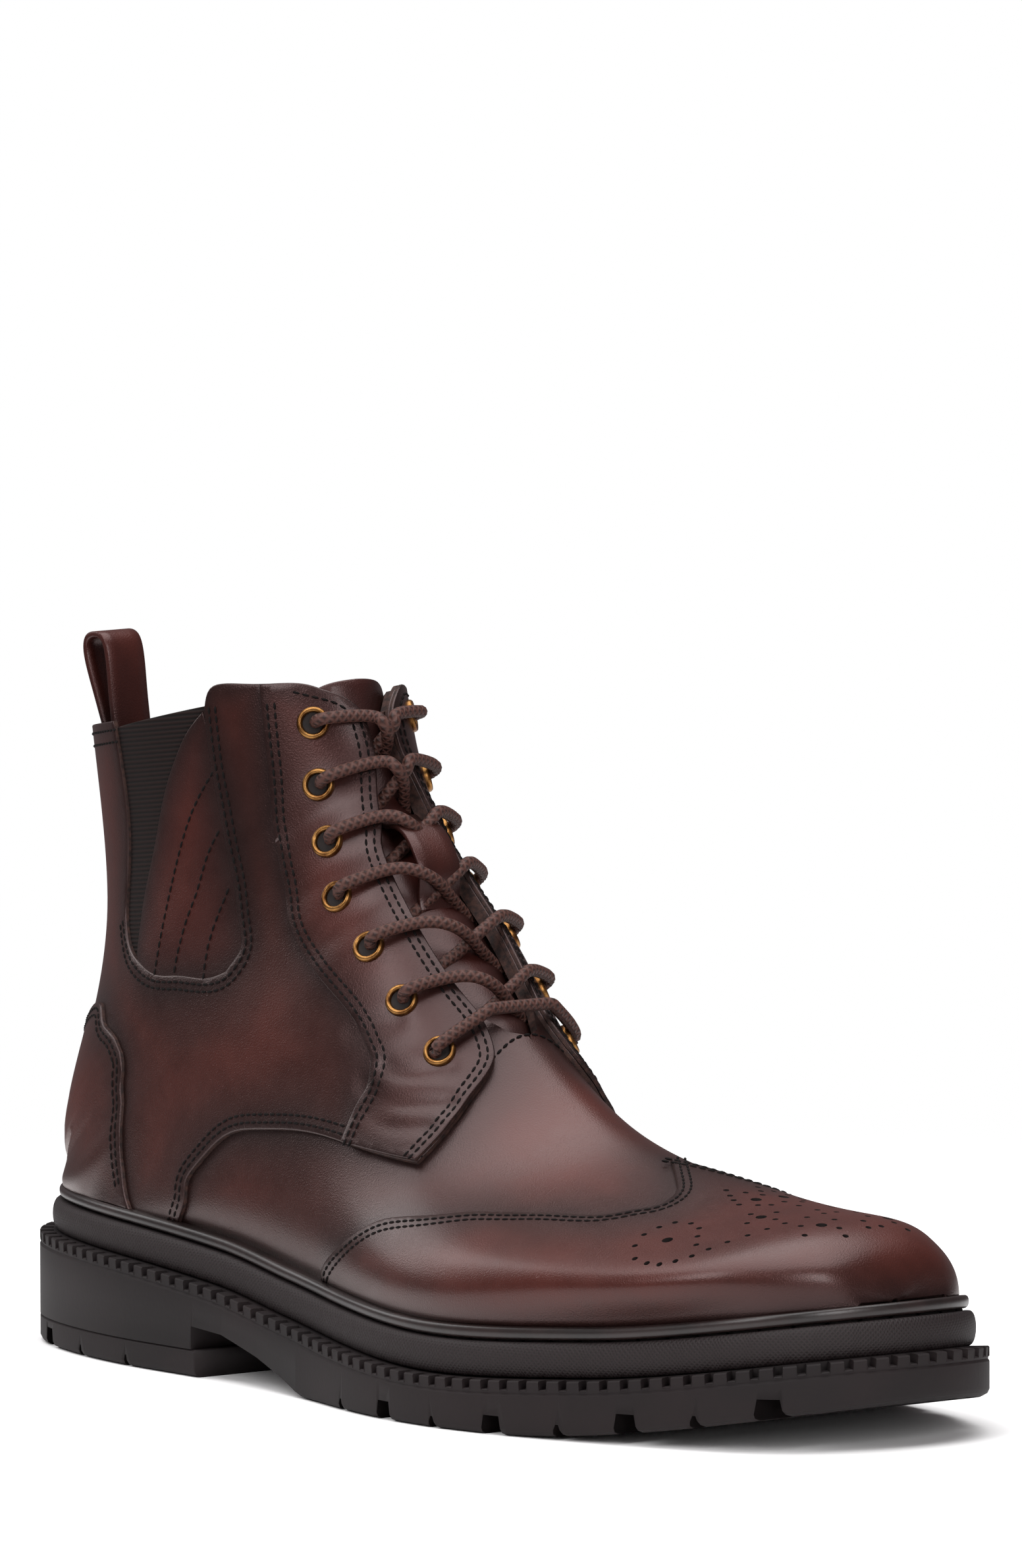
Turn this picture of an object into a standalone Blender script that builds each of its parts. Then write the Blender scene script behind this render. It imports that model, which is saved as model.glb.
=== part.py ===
"""Right lace-up wing-tip boot: a lasted leather upper on a welted rubber unit sole.

Metres, +Z up, +X to the toe, +Y to the wearer's inner side, origin under the middle of the sole.
"""

import math

import bmesh
import bpy
import numpy as np
from mathutils.geometry import delaunay_2d_cdt

# Driving sizes
SOLE_LENGTH = 0.308
BALL_WIDTH = 0.115
COLLAR_HEIGHT = 0.138
HEEL_RIDGE_HEIGHT = 0.0248
GAP = 0.0003
SEAT = 0.0009

# Walls and layers
WALL = 0.0022
PANEL = 0.0011
COUNTER_RAISE = 0.0010
TONGUE_THICK = 0.0030
INSOLE_THICK = 0.0030
INSOLE_CLEAR = 0.0033
WELT_THICK = 0.0027
MIDSOLE_THICK = 0.0084
BAND_HEIGHT = 0.0034
HEEL_LIFT = 0.0068
BREAST_HEIGHT = 0.0126
TOE_SPRING = 0.0116

# Insets of each layer from the edge of the outsole
MIDSOLE_INSET = 0.0032
BULGE = 0.0012
WELT_INSET = 0.0049
FEATHER_INSET = 0.0070

# Edge teeth and tread
TOOTH_PITCH = 0.0113
NOTCH_WIDTH = 0.0036
NOTCH_TALL = 0.0020
LEDGE = 0.0030
LUG_DEEP = 0.0047
LUG_SHALLOW = 0.0029
GROOVE_DEEP = 0.0030

# Trim
EYELET_OUTER = 0.0040
EYELET_INNER = 0.0025
EYELET_HEIGHT = 0.0011
LACE_RADIUS = 0.0014
LOOP_WIDTH = 0.0125
LOOP_THICK = 0.0016
LOOP_RISE = 0.0300
LOOP_DEPTH = 0.0098
LOOP_SET = 0.0024
KEEPER_THICK = 0.0009

# Outline of the outsole, anticlockwise from the back of the heel by the outer side:
# along as shares of the sole length, across as shares of the ball width
OUTLINE_ALONG_ACROSS = [
    (0.000, 0.026), (0.014, -0.163), (0.070, -0.303), (0.194, -0.384), (0.324, -0.392), (0.452, -0.417),
    (0.563, -0.478), (0.681, -0.485), (0.793, -0.406), (0.883, -0.309), (0.957, -0.187), (0.998, 0.043),
    (0.984, 0.289), (0.908, 0.443), (0.797, 0.506), (0.681, 0.495), (0.552, 0.416), (0.422, 0.358),
    (0.292, 0.348), (0.162, 0.364), (0.065, 0.322), (0.013, 0.200),
]

# Height of the ridge under the toothed band: along as shares of the sole length,
# height as shares of the ridge height at the back of the heel
RIDGE_ALONG_HEIGHT = [
    (0.000, 1.000), (0.195, 0.919), (0.325, 0.778), (0.422, 0.585), (0.519, 0.448), (0.649, 0.363),
    (0.795, 0.440), (1.000, 0.774),
]

# Sections of the upper from the tip of the toe to the collar, fanned round the instep.
# top and low: ends of the section, along as shares of the sole length, up as shares of the collar height.
# Half widths and across values are shares of the ball width; heights on the section are shares of its length.
SECTION_COLUMNS = (
    "top_along top_up top_across low_along low_up swell swell_at "
    "outer_low outer_high inner_low inner_high crown low_at high_at"
).split()
SECTIONS = [
    (0.969, 0.000, 0.085, 0.966, 0.000, 0.000, 0.15, 0.085, 0.085, 0.085, 0.085, 0.001, 0.40, 0.75),
    (0.961, 0.064, 0.115, 0.963, 0.000, 0.000, 0.15, -0.030, -0.020, 0.215, 0.195, 0.030, 0.50, 0.85),
    (0.944, 0.111, 0.115, 0.946, 0.000, 0.000, 0.15, -0.130, -0.100, 0.288, 0.248, 0.080, 0.45, 0.76),
    (0.912, 0.143, 0.110, 0.910, 0.000, 0.005, 0.15, -0.235, -0.200, 0.350, 0.293, 0.110, 0.40, 0.72),
    (0.850, 0.174, 0.090, 0.835, 0.000, 0.010, 0.14, -0.350, -0.295, 0.405, 0.318, 0.115, 0.36, 0.66),
    (0.720, 0.244, 0.070, 0.700, 0.000, 0.020, 0.13, -0.435, -0.355, 0.435, 0.305, 0.100, 0.31, 0.60),
    (0.615, 0.328, 0.055, 0.565, 0.000, 0.020, 0.12, -0.410, -0.330, 0.375, 0.275, 0.085, 0.30, 0.59),
    (0.530, 0.458, 0.035, 0.420, 0.000, 0.020, 0.10, -0.345, -0.275, 0.330, 0.280, 0.105, 0.30, 0.64),
    (0.467, 0.588, 0.028, 0.270, 0.000, 0.020, 0.08, -0.310, -0.265, 0.310, 0.305, 0.135, 0.30, 0.71),
    (0.426, 0.678, 0.024, 0.120, 0.000, 0.030, 0.06, -0.300, -0.260, 0.305, 0.300, 0.130, 0.29, 0.71),
    (0.394, 0.758, 0.022, 0.023, 0.000, 0.220, 0.00, -0.290, -0.255, 0.305, 0.295, 0.125, 0.27, 0.70),
    (0.373, 0.826, 0.022, 0.016, 0.160, 0.150, 0.00, -0.250, -0.250, 0.275, 0.285, 0.115, 0.27, 0.71),
    (0.357, 0.886, 0.022, 0.028, 0.450, 0.085, 0.00, -0.215, -0.245, 0.245, 0.260, 0.115, 0.27, 0.72),
    (0.336, 1.000, 0.022, 0.008, 0.828, 0.070, 0.00, -0.245, -0.260, 0.275, 0.275, 0.120, 0.27, 0.72),
]
HEEL_ROW = 10
TIP_START = 0.06

# Panel edges on one side of the upper: section number, and place on the section from 0 at its
# low end to 1 on the front line
THROAT_EDGE = [
    (12.39, 0.969), (11.59, 0.969), (10.59, 0.950), (9.94, 0.937), (9.64, 0.925), (9.07, 0.918),
    (8.26, 0.912), (7.54, 0.912), (7.16, 0.918), (6.89, 0.906), (6.70, 0.874), (6.58, 0.805), (6.47, 0.723),
    (6.43, 0.635),
]
FACING_TOP = [(12.80, 0.680), (12.87, 0.700), (12.87, 0.860), (12.78, 0.899), (12.67, 0.931), (12.52, 0.956)]
DERBY_EDGE = [
    (6.81, 0.566), (7.12, 0.516), (7.42, 0.465), (7.77, 0.396), (8.00, 0.352), (8.11, 0.302), (8.15, 0.226),
    (8.15, 0.157), (8.07, 0.088), (8.05, 0.000),
]
GORE_EDGE = [
    (12.90, 0.430), (12.35, 0.390), (12.01, 0.371), (11.62, 0.377), (11.05, 0.447), (10.48, 0.516),
    (10.10, 0.560), (9.71, 0.591), (9.52, 0.616), (9.60, 0.654), (9.83, 0.673), (10.56, 0.686), (11.32, 0.673),
    (11.82, 0.660), (12.31, 0.654),
]
PLEAT_EDGE = [
    (12.80, 0.645), (12.54, 0.579), (12.12, 0.497), (11.85, 0.465), (11.59, 0.455), (11.24, 0.460),
]
STAY_REAR = [
    (7.08, 0.566), (7.19, 0.616), (7.27, 0.667), (7.38, 0.698), (7.46, 0.704), (7.77, 0.717), (8.15, 0.717),
    (8.68, 0.723), (9.33, 0.742), (10.10, 0.767), (10.98, 0.767), (11.85, 0.767), (12.43, 0.774), (12.87, 0.786),
]
WING_EDGE = [
    (6.70, 0.000), (6.70, 0.075), (6.58, 0.201), (6.43, 0.333), (6.24, 0.447), (5.93, 0.547), (5.63, 0.629),
    (5.36, 0.673), (5.09, 0.711), (4.79, 0.748), (4.67, 0.792), (4.60, 0.830), (4.67, 0.887), (4.86, 0.937),
    (5.13, 1.000),
]
COUNTER_EDGE = [
    (11.40, 0.000), (11.30, 0.150), (11.13, 0.302), (10.75, 0.358), (10.36, 0.396), (9.87, 0.396),
    (9.56, 0.358), (9.22, 0.296), (8.87, 0.182), (8.68, 0.107), (8.45, 0.000),
]
EYELETS = [
    (7.04, 0.811), (7.61, 0.811), (8.30, 0.818), (9.22, 0.824), (10.17, 0.849), (11.36, 0.855), (12.39, 0.868),
]
SLOT_EDGE = [(7.10, 1.000), (7.22, 0.960), (7.54, 0.912), (8.26, 0.912), (9.07, 0.918), (9.64, 0.925),
             (9.94, 0.937), (10.59, 0.950), (11.59, 0.969), (13.00, 0.972)]
TONGUE_EDGE = [(6.90, 0.860), (9.00, 0.845), (11.50, 0.860), (12.80, 0.880), (12.97, 0.930)]
TONGUE_TOP = 13.06
KEEPER_SECTION = 9.30
KEEPER_REACH = 0.105
KEEPER_HALF = 0.40

# Collar edge of the wall: section number at each place, lower behind and dropped at the front corners
COLLAR_PLACES = [0.0, 0.42, 0.66, 0.72, 0.86, 0.90, 0.93, 0.972]
COLLAR_SECTIONS = [12.92, 12.86, 12.78, 12.80, 12.80, 12.71, 12.60, 12.36]

# Sections where the wall of the upper has its rows, and how finely each panel is divided
WALL_ROWS = [0.5, 1.0, 1.5, 2.1, 2.8, 3.5, 4.2, 4.8, 5.4, 6.0, 6.6, 7.1, 7.22, 7.6, 8.1, 8.7, 9.3, 9.7, 9.87,
             10.0, 10.2, 10.6, 11.0, 11.5, 12.0, 12.36]
WALL_COLUMNS = 13
PANEL_STEPS = (0.42, 0.075)
TOE_STEPS = (0.60, 0.085)
COUNTER_STEPS = (0.32, 0.065)

# Lug notches along the outer and inner edge: middle and half width along, as shares of the sole length
DEEP_NOTCHES = [(0.085, 0.011), (0.607, 0.012), (0.728, 0.012), (0.844, 0.012), (0.950, 0.011)]
SHALLOW_NOTCHES = [(0.030, 0.007), (0.150, 0.007), (0.222, 0.007), (0.541, 0.009), (0.667, 0.010), (0.787, 0.010),
                   (0.899, 0.010)]
BREAST_ALONG = 0.315
WAIST_LINE = [(0.310, 1.0), (0.350, 0.93), (0.400, 0.62), (0.440, 0.30), (0.485, -0.10)]
SPRING_START = 0.73
SPRING_POWER = 1.6

OUTLINE_STEPS = 60
SIDES = (-1, 1)
SIDE_NAMES = {-1: "lateral", 1: "medial"}


# Curves


def second_slopes(values, around):
    """Second derivatives of the cubic through rows one apart, or round a closed ring."""
    count = len(values)
    grid = np.eye(count) * 4
    drive = np.zeros_like(values)
    for row in range(count):
        if not around and row in (0, count - 1):
            grid[row] = np.eye(count)[row]
            continue
        before, after = (row - 1) % count, (row + 1) % count
        grid[row, before] += 1
        grid[row, after] += 1
        drive[row] = 6 * (values[before] - 2 * values[row] + values[after])
    return np.linalg.solve(grid, drive)


def smooth_at(values, place, around=False):
    """Cubic curve through rows one apart."""
    count = len(values)
    bend = second_slopes(values, around)
    first = np.floor(place).astype(int)
    first = first % count if around else np.clip(first, 0, count - 2)
    after = (first + 1) % count
    share = (place - (np.floor(place) if around else first))[..., None]
    rest = 1 - share
    return (rest * values[first] + share * values[after]
            + ((rest**3 - rest) * bend[first] + (share**3 - share) * bend[after]) / 6)


def steady_at(knots, values, place):
    """Cubic through single values that never overshoots them."""
    step = np.diff(knots)
    rise = np.diff(values) / step
    slope = np.zeros(len(values))
    for row in range(1, len(values) - 1):
        if rise[row - 1] * rise[row] > 0:
            near = 2 * step[row] + step[row - 1]
            far = step[row] + 2 * step[row - 1]
            slope[row] = (near + far) / (near / rise[row - 1] + far / rise[row])
    slope[0], slope[-1] = rise[0], rise[-1]
    first = np.clip(np.searchsorted(knots, place, side="right") - 1, 0, len(step) - 1)
    share = (place - knots[first]) / step[first]
    rest = 1 - share
    return (values[first] * (1 + 2 * share) * rest**2 + slope[first] * step[first] * share * rest**2
            + values[first + 1] * (3 - 2 * share) * share**2 - slope[first + 1] * step[first] * share**2 * rest)


def ring_points(count):
    """Points round the outsole's edge, spaced evenly, in metres."""
    marks = np.array(OUTLINE_ALONG_ACROSS) * (SOLE_LENGTH, BALL_WIDTH)
    fine = smooth_at(marks, np.linspace(0, len(marks), 60 * len(marks), endpoint=False), around=True)
    run = np.r_[0, np.cumsum(np.linalg.norm(np.diff(np.vstack([fine, fine[:1]]), axis=0), axis=1))]
    places = np.linspace(0, run[-1], count, endpoint=False)
    closed = np.vstack([fine, fine[:1]])
    return np.c_[np.interp(places, run, closed[:, 0]), np.interp(places, run, closed[:, 1])]


def inset_ring(ring, inset):
    """The ring moved inwards by one distance."""
    along = np.roll(ring, -1, 0) - np.roll(ring, 1, 0)
    along /= np.linalg.norm(along, axis=1)[:, None]
    return ring + np.c_[-along[:, 1], along[:, 0]] * inset


EDGE = ring_points(800)
MIDDLE_ACROSS = (EDGE[:, 1].min() + EDGE[:, 1].max()) / 2
RIDGE_KNOTS = np.array([row[0] for row in RIDGE_ALONG_HEIGHT]) * SOLE_LENGTH
RIDGE_HEIGHTS = np.array([row[1] for row in RIDGE_ALONG_HEIGHT]) * HEEL_RIDGE_HEIGHT


def ridge_height(along):
    return steady_at(RIDGE_KNOTS, RIDGE_HEIGHTS, np.clip(along, 0, SOLE_LENGTH))


def feather_height(along):
    """Top of the welt, where the upper meets it."""
    tread = BAND_HEIGHT + MIDSOLE_THICK + WELT_THICK
    return ridge_height(along) + tread * (1 + 0.12 * np.clip(along / SOLE_LENGTH, 0, 1))


def layer_height(along, share):
    """Height between the ridge, at 0, and the feather line, at 1."""
    low = ridge_height(along)
    return low + (feather_height(along) - low) * share


FEATHER = inset_ring(EDGE, FEATHER_INSET)
BACK, TIP = FEATHER[:, 0].argmin(), FEATHER[:, 0].argmax()
BACK_ALONG, TIP_ALONG = FEATHER[BACK, 0], FEATHER[TIP, 0]
TURNED = np.roll(FEATHER, -BACK, 0)
TO_TIP = (TIP - BACK) % len(FEATHER)
OUTER_FEATHER = TURNED[: TO_TIP + 1]
INNER_FEATHER = np.vstack([TURNED[TO_TIP:], TURNED[:1]])[::-1]


def feather_across(along, side):
    along = np.clip(along, BACK_ALONG, TIP_ALONG)
    outer = np.interp(along, OUTER_FEATHER[:, 0], OUTER_FEATHER[:, 1])
    inner = np.interp(along, INNER_FEATHER[:, 0], INNER_FEATHER[:, 1])
    return np.where(side < 0, outer, inner)


# Form of the upper

CONTROL_KNOTS = np.array([0, 0, 0, 0, 1 / 3, 2 / 3, 1, 1, 1, 1])


def control_shares(place):
    """Shares of six control points at a place from 0 to 1."""
    place = np.clip(place, 0, 1 - 1e-9)
    shares = [((place >= low) & (place < high)).astype(float) for low, high in zip(CONTROL_KNOTS, CONTROL_KNOTS[1:])]
    for degree in (1, 2, 3):
        level = []
        for k in range(len(shares) - 1):
            left = CONTROL_KNOTS[k + degree] - CONTROL_KNOTS[k]
            right = CONTROL_KNOTS[k + degree + 1] - CONTROL_KNOTS[k + 1]
            value = 0
            if left:
                value = value + (place - CONTROL_KNOTS[k]) / left * shares[k]
            if right:
                value = value + (CONTROL_KNOTS[k + degree + 1] - place) / right * shares[k + 1]
            level.append(value)
        shares = level
    return shares


TABLE = np.array(SECTIONS)
ROWS = np.arange(len(SECTIONS), dtype=float)


def surface(section, place, side):
    """A point of the upper's skin: section number, place on it from 0 (low) to 1 (front), and side."""
    section, place, side = np.broadcast_arrays(
        np.asarray(section, float), np.asarray(place, float), np.asarray(side, float)
    )
    row = dict(zip(SECTION_COLUMNS, np.moveaxis(smooth_at(TABLE, section), -1, 0)))
    row["low_along"] = steady_at(ROWS, TABLE[:, 3], section)
    row["low_up"] = steady_at(ROWS, TABLE[:, 4], section)
    top_x = np.minimum(row["top_along"] * SOLE_LENGTH, TIP_ALONG)
    top_z = feather_height(top_x) + row["top_up"] * COLLAR_HEIGHT
    low_x = row["low_along"] * SOLE_LENGTH
    low_x = np.where(section < HEEL_ROW, np.clip(low_x, BACK_ALONG, TIP_ALONG), low_x)
    low_z = feather_height(low_x) + np.maximum(row["low_up"], 0) * COLLAR_HEIGHT
    back_y = FEATHER[BACK, 1]
    low_y = np.where(section >= HEEL_ROW, back_y, feather_across(low_x, side))
    wrap = np.clip(section - HEEL_ROW + 1, 0, 1)
    wrap = wrap * wrap * (3 - 2 * wrap)
    last_x = SECTIONS[HEEL_ROW - 1][3] * SOLE_LENGTH
    swell_y = (1 - wrap) * feather_across(np.maximum(low_x, last_x), side) + wrap * back_y
    swell_y = swell_y + side * row["swell"] * BALL_WIDTH
    low_side = np.where(side < 0, row["outer_low"], row["inner_low"]) * BALL_WIDTH
    high_side = np.where(side < 0, row["outer_high"], row["inner_high"]) * BALL_WIDTH
    crown_y = (row["top_across"] + side * row["crown"]) * BALL_WIDTH
    share = control_shares(place)
    across = (share[0] * low_y + share[1] * swell_y + share[2] * low_side + share[3] * high_side
              + share[4] * crown_y + share[5] * row["top_across"] * BALL_WIDTH)
    up = share[1] * row["swell_at"] + share[2] * row["low_at"] + share[3] * row["high_at"] + share[4] + share[5]
    return np.stack([low_x + (top_x - low_x) * up, across, low_z + (top_z - low_z) * up], -1)


def normal(section, place, side):
    """Outward direction of the upper's skin."""
    section, place, side = (np.asarray(value, float) for value in (section, place, side))
    reach = 0.02
    low, high = np.maximum(section - reach, TIP_START / 2), section + reach
    along = surface(high, place, side) - surface(low, place, side)
    inside = np.clip(place, reach, 1 - reach)
    rise = surface(section, inside + reach, side) - surface(section, inside - reach, side)
    out = np.cross(along, rise) * side[..., None]
    return out / np.maximum(np.linalg.norm(out, axis=-1), 1e-12)[..., None]


def skin(section, place, side, height):
    """Points at a height over the skin, the same from both sides on the front line and the back seam."""
    section, place, side = np.broadcast_arrays(
        np.asarray(section, float), np.asarray(place, float), np.asarray(side, float)
    )
    out = normal(section, place, side)
    shared = (place > 1 - 1e-6) | ((place < 1e-6) & (section >= HEEL_ROW - 1e-6))
    other = normal(section, place, -side)
    both = out + other
    both = both / np.linalg.norm(both, axis=-1)[..., None]
    out = np.where(shared[..., None], both, out)
    points = surface(section, place, side) + out * height
    foot = (place < 1e-6) & (section < HEEL_ROW + 1e-6)
    seat = feather_height(points[..., 0]) + GAP
    points[..., 2] = np.where(foot, seat, np.maximum(points[..., 2], seat))
    return points


def front(section, across, height):
    """A point near the front line: across is negative on the outer side."""
    side = -1.0 if across < 0 else 1.0
    return skin(section, 1 - abs(across), side, height)


# Meshes


def settle(points):
    """Moves points from the heel's back to the origin under the middle of the sole."""
    return np.asarray(points, float) - (SOLE_LENGTH / 2, MIDDLE_ACROSS, 0)


def material(name, colour, roughness, metallic=0.0):
    found = bpy.data.materials.get(name)
    if found:
        return found
    made = bpy.data.materials.new(name)
    made.use_nodes = True
    shader = made.node_tree.nodes["Principled BSDF"]
    shader.inputs["Base Color"].default_value = (*colour, 1)
    shader.inputs["Roughness"].default_value = roughness
    shader.inputs["Metallic"].default_value = metallic
    return made


def leather():
    return material("Burnished calf leather", (0.062, 0.026, 0.018), 0.38)


def rubber():
    return material("Moulded dark rubber", (0.022, 0.019, 0.018), 0.62)


def add_object(name, points, faces, finish, smooth=True):
    """An object from points in the boot's own frame."""
    mesh = bpy.data.meshes.new(name)
    mesh.from_pydata([tuple(point) for point in settle(points)], [], [tuple(map(int, face)) for face in faces])
    work = bmesh.new()
    work.from_mesh(mesh)
    bmesh.ops.remove_doubles(work, verts=work.verts, dist=1e-6)
    bmesh.ops.dissolve_degenerate(work, edges=work.edges, dist=1e-7)
    bmesh.ops.triangulate(work, faces=work.faces)
    bmesh.ops.recalc_face_normals(work, faces=work.faces)
    if work.calc_volume(signed=True) < 0:
        bmesh.ops.reverse_faces(work, faces=work.faces)
    work.to_mesh(mesh)
    work.free()
    mesh.materials.append(finish)
    if smooth:
        mesh.shade_smooth()
        mesh.set_sharp_from_angle(angle=math.radians(35))
    made = bpy.data.objects.new(name, mesh)
    bpy.context.scene.collection.objects.link(made)
    return made


def open_edges(faces):
    """Directed border edges of a sheet."""
    seen = {}
    for face in faces:
        for start, end in zip(face, np.roll(face, -1)):
            seen[(int(start), int(end))] = True
    return [edge for edge in seen if edge[::-1] not in seen]


def walled(name, low, high, faces, finish):
    """A solid between two skins of one sheet, closed round its borders."""
    count = len(low)
    rims = [(start, end, end + count, start + count) for start, end in open_edges(faces)]
    body = [face[::-1] for face in faces] + [tuple(k + count for k in face) for face in faces]
    flipped = [rim[::-1] for rim in rims]
    return add_object(name, np.vstack([low, high]), body + flipped, finish)


def densify(outline, section_step, place_step):
    """Adds points on the long edges of a closed outline."""
    made = []
    for start, end in zip(outline, outline[1:] + outline[:1]):
        parts = max(1, math.ceil(abs(end[0] - start[0]) / section_step - 1e-6),
                    math.ceil(abs(end[1] - start[1]) / place_step - 1e-6))
        made += [tuple(np.add(start, np.subtract(end, start) * k / parts)) for k in range(parts)]
    return made


def inside(outline, point):
    """True where a point is inside a closed outline."""
    crossings = 0
    for (ax, ay), (bx, by) in zip(outline, outline[1:] + outline[:1]):
        if (ay > point[1]) != (by > point[1]):
            crossings += point[0] < ax + (bx - ax) * (point[1] - ay) / (by - ay)
    return crossings % 2 == 1


def near_edge(outline, point, section_step, place_step):
    scaled = np.subtract(outline, point) / (section_step, place_step)
    return np.linalg.norm(scaled, axis=1).min() < 0.45


def fill(outline, section_step, place_step):
    """Triangles that fill an outline, with a grid of points inside it."""
    border = densify(outline, section_step, place_step)
    sections = [point[0] for point in border]
    places = [point[1] for point in border]
    grid = [
        (section, place)
        for section in np.arange(min(sections) + section_step / 2, max(sections), section_step)
        for place in np.arange(min(places) + place_step / 2, max(places), place_step)
    ]
    kept = [point for point in grid if inside(border, point) and not near_edge(border, point, section_step, place_step)]
    loop = list(range(len(border)))
    edges = list(zip(loop, loop[1:] + loop[:1]))
    stretch = section_step / place_step
    flat = [(point[0], point[1] * stretch) for point in border + kept]
    verts, _, faces, _, _, _ = delaunay_2d_cdt(flat, edges, [loop], 1, 1e-7)
    return [(vert[0], vert[1] / stretch) for vert in verts], [tuple(face) for face in faces]


def panel(name, outline, sides, low, high, finish, steps=PANEL_STEPS):
    """A panel of the upper between two heights over the skin, on one side or both."""
    params, faces = fill(outline, *steps)
    section, place = np.array(params).T
    lows, highs, all_faces, keys = [], [], [], {}
    for side in sides:
        place_now = np.clip(place, 0, 1)
        low_points = skin(section, place_now, np.full(len(section), side), low)
        high_points = skin(section, place_now, np.full(len(section), side), high)
        number = []
        for k in range(len(section)):
            shared = place_now[k] > 1 - 1e-6 or (place_now[k] < 1e-6 and section[k] >= HEEL_ROW - 1e-6)
            key = (round(section[k], 5), round(place_now[k], 5), 0 if shared else side)
            if key not in keys:
                keys[key] = len(lows)
                lows.append(low_points[k])
                highs.append(high_points[k])
            number.append(keys[key])
        for face in faces:
            turned = face if side > 0 else face[::-1]
            all_faces.append(tuple(number[k] for k in turned))
    return walled(name, np.array(lows), np.array(highs), all_faces, finish)


# Sole


def sole_fill(ring, height, flip):
    """A lid over a ring of the sole, with points along its middle line."""
    count = len(ring)
    loop = list(range(count))
    edges = list(zip(loop, loop[1:] + loop[:1]))
    low, high = ring[:, 0].min(), ring[:, 0].max()
    middle = []
    for x in np.arange(low + 0.012, high - 0.010, 0.016):
        near = ring[np.abs(ring[:, 0] - x) < 0.012, 1]
        centre, half = (near.max() + near.min()) / 2, (near.max() - near.min()) / 2
        middle += [(x, centre - 0.5 * half), (x, centre), (x, centre + 0.5 * half)]
    flat = [tuple(point) for point in ring] + middle
    verts, _, faces, _, _, _ = delaunay_2d_cdt(flat, edges, [loop], 1, 1e-9)
    points = np.array([(vert[0], vert[1], height(vert[0])) for vert in verts])
    return points, [tuple(face)[::-1] if flip else tuple(face) for face in faces]


def plate(name, profile, finish, count=OUTLINE_STEPS):
    """A solid round the sole's outline: each step of its profile is an inset and a height function."""
    ring = ring_points(count)
    points, faces, loops = [], [], []
    for inset, height in profile:
        flat = inset_ring(ring, inset)
        loops.append(len(points))
        points += [(x, y, float(height(x))) for x, y in flat]
    for low, high in zip(loops, loops[1:]):
        for k in range(count):
            after = (k + 1) % count
            faces.append((low + k, low + after, high + after, high + k))
    for (inset, height), flip in ((profile[0], True), (profile[-1], False)):
        lid, lid_faces = sole_fill(inset_ring(ring, inset), height, flip)
        base = len(points)
        points += [tuple(point) for point in lid]
        faces += [tuple(k + base for k in face) for face in lid_faces]
    return add_object(name, points, faces, finish)


def at_share(share, more=0.0):
    return lambda along: layer_height(along, share) + more


def floor_height(along):
    """Underside of the outsole before its arch is cut: flat, then up with the toe spring."""
    start = SPRING_START * SOLE_LENGTH
    share = np.clip((along - start) / (SOLE_LENGTH - start), 0, 1)
    return TOE_SPRING * share**SPRING_POWER


def prism(name, outline, low_y, high_y):
    """A cutter with an outline in X and Z, between two places across."""
    count = len(outline)
    points = [(x, low_y, z) for x, z in outline] + [(x, high_y, z) for x, z in outline]
    faces = [tuple(range(count)), tuple(range(2 * count - 1, count - 1, -1))]
    faces += [(k, k + count, (k + 1) % count + count, (k + 1) % count) for k in range(count)]
    made = add_object(name, points, faces, rubber(), smooth=False)
    made.hide_render = True
    made.display_type = "WIRE"
    return made


def cut(target, cutter, operation="DIFFERENCE"):
    modifier = target.modifiers.new(cutter.name, "BOOLEAN")
    modifier.operation = operation
    modifier.object = cutter
    modifier.solver = "EXACT"


def joined_cutter(name, shapes):
    """One cutter from closed shapes that don't meet, each given as points and faces."""
    points, faces = [], []
    for shape_points, shape_faces in shapes:
        base = len(points)
        points += [tuple(point) for point in shape_points]
        faces += [tuple(k + base for k in face) for face in shape_faces]
    made = add_object(name, points, faces, rubber(), smooth=False)
    made.hide_render = True
    made.display_type = "WIRE"
    return made


def wedge(middle, reach, depth, low_y, high_y, narrow):
    """A notch from the floor up: wide at the floor and narrower at its top."""
    floor = float(floor_height(middle))
    half = reach * SOLE_LENGTH
    outline = [(middle - half, floor - 0.004), (middle + half, floor - 0.004),
               (middle + half * narrow, floor + depth), (middle - half * narrow, floor + depth)]
    points = [(x, low_y, z) for x, z in outline] + [(x, high_y, z) for x, z in outline]
    faces = [(0, 1, 2, 3), (7, 6, 5, 4)] + [(k, k + 4, (k + 1) % 4 + 4, (k + 1) % 4) for k in range(4)]
    return points, faces


def tread_notches(low, high):
    """Lug notches on both edges, between two shares of the sole length."""
    shapes = []
    for rows, depth, inward, narrow in ((DEEP_NOTCHES, LUG_DEEP, 0.017, 0.7), (SHALLOW_NOTCHES, LUG_SHALLOW, 0.009, 0.3)):
        for place, reach in rows:
            if not low < place < high:
                continue
            middle = place * SOLE_LENGTH
            near = np.abs(EDGE[:, 0] - middle) < 0.004
            outer = EDGE[near & (EDGE[:, 1] < MIDDLE_ACROSS), 1].min()
            inner = EDGE[near & (EDGE[:, 1] > MIDDLE_ACROSS), 1].max()
            shapes.append(wedge(middle, reach, depth, outer - 0.006, outer + inward, narrow))
            shapes.append(wedge(middle, reach, depth, inner - inward, inner + 0.006, narrow))
            if depth == LUG_DEEP:
                shapes.append(wedge(middle, 0.006, GROOVE_DEEP, outer + inward + 0.004, inner - inward - 0.004, 1.0))
    return shapes


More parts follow.
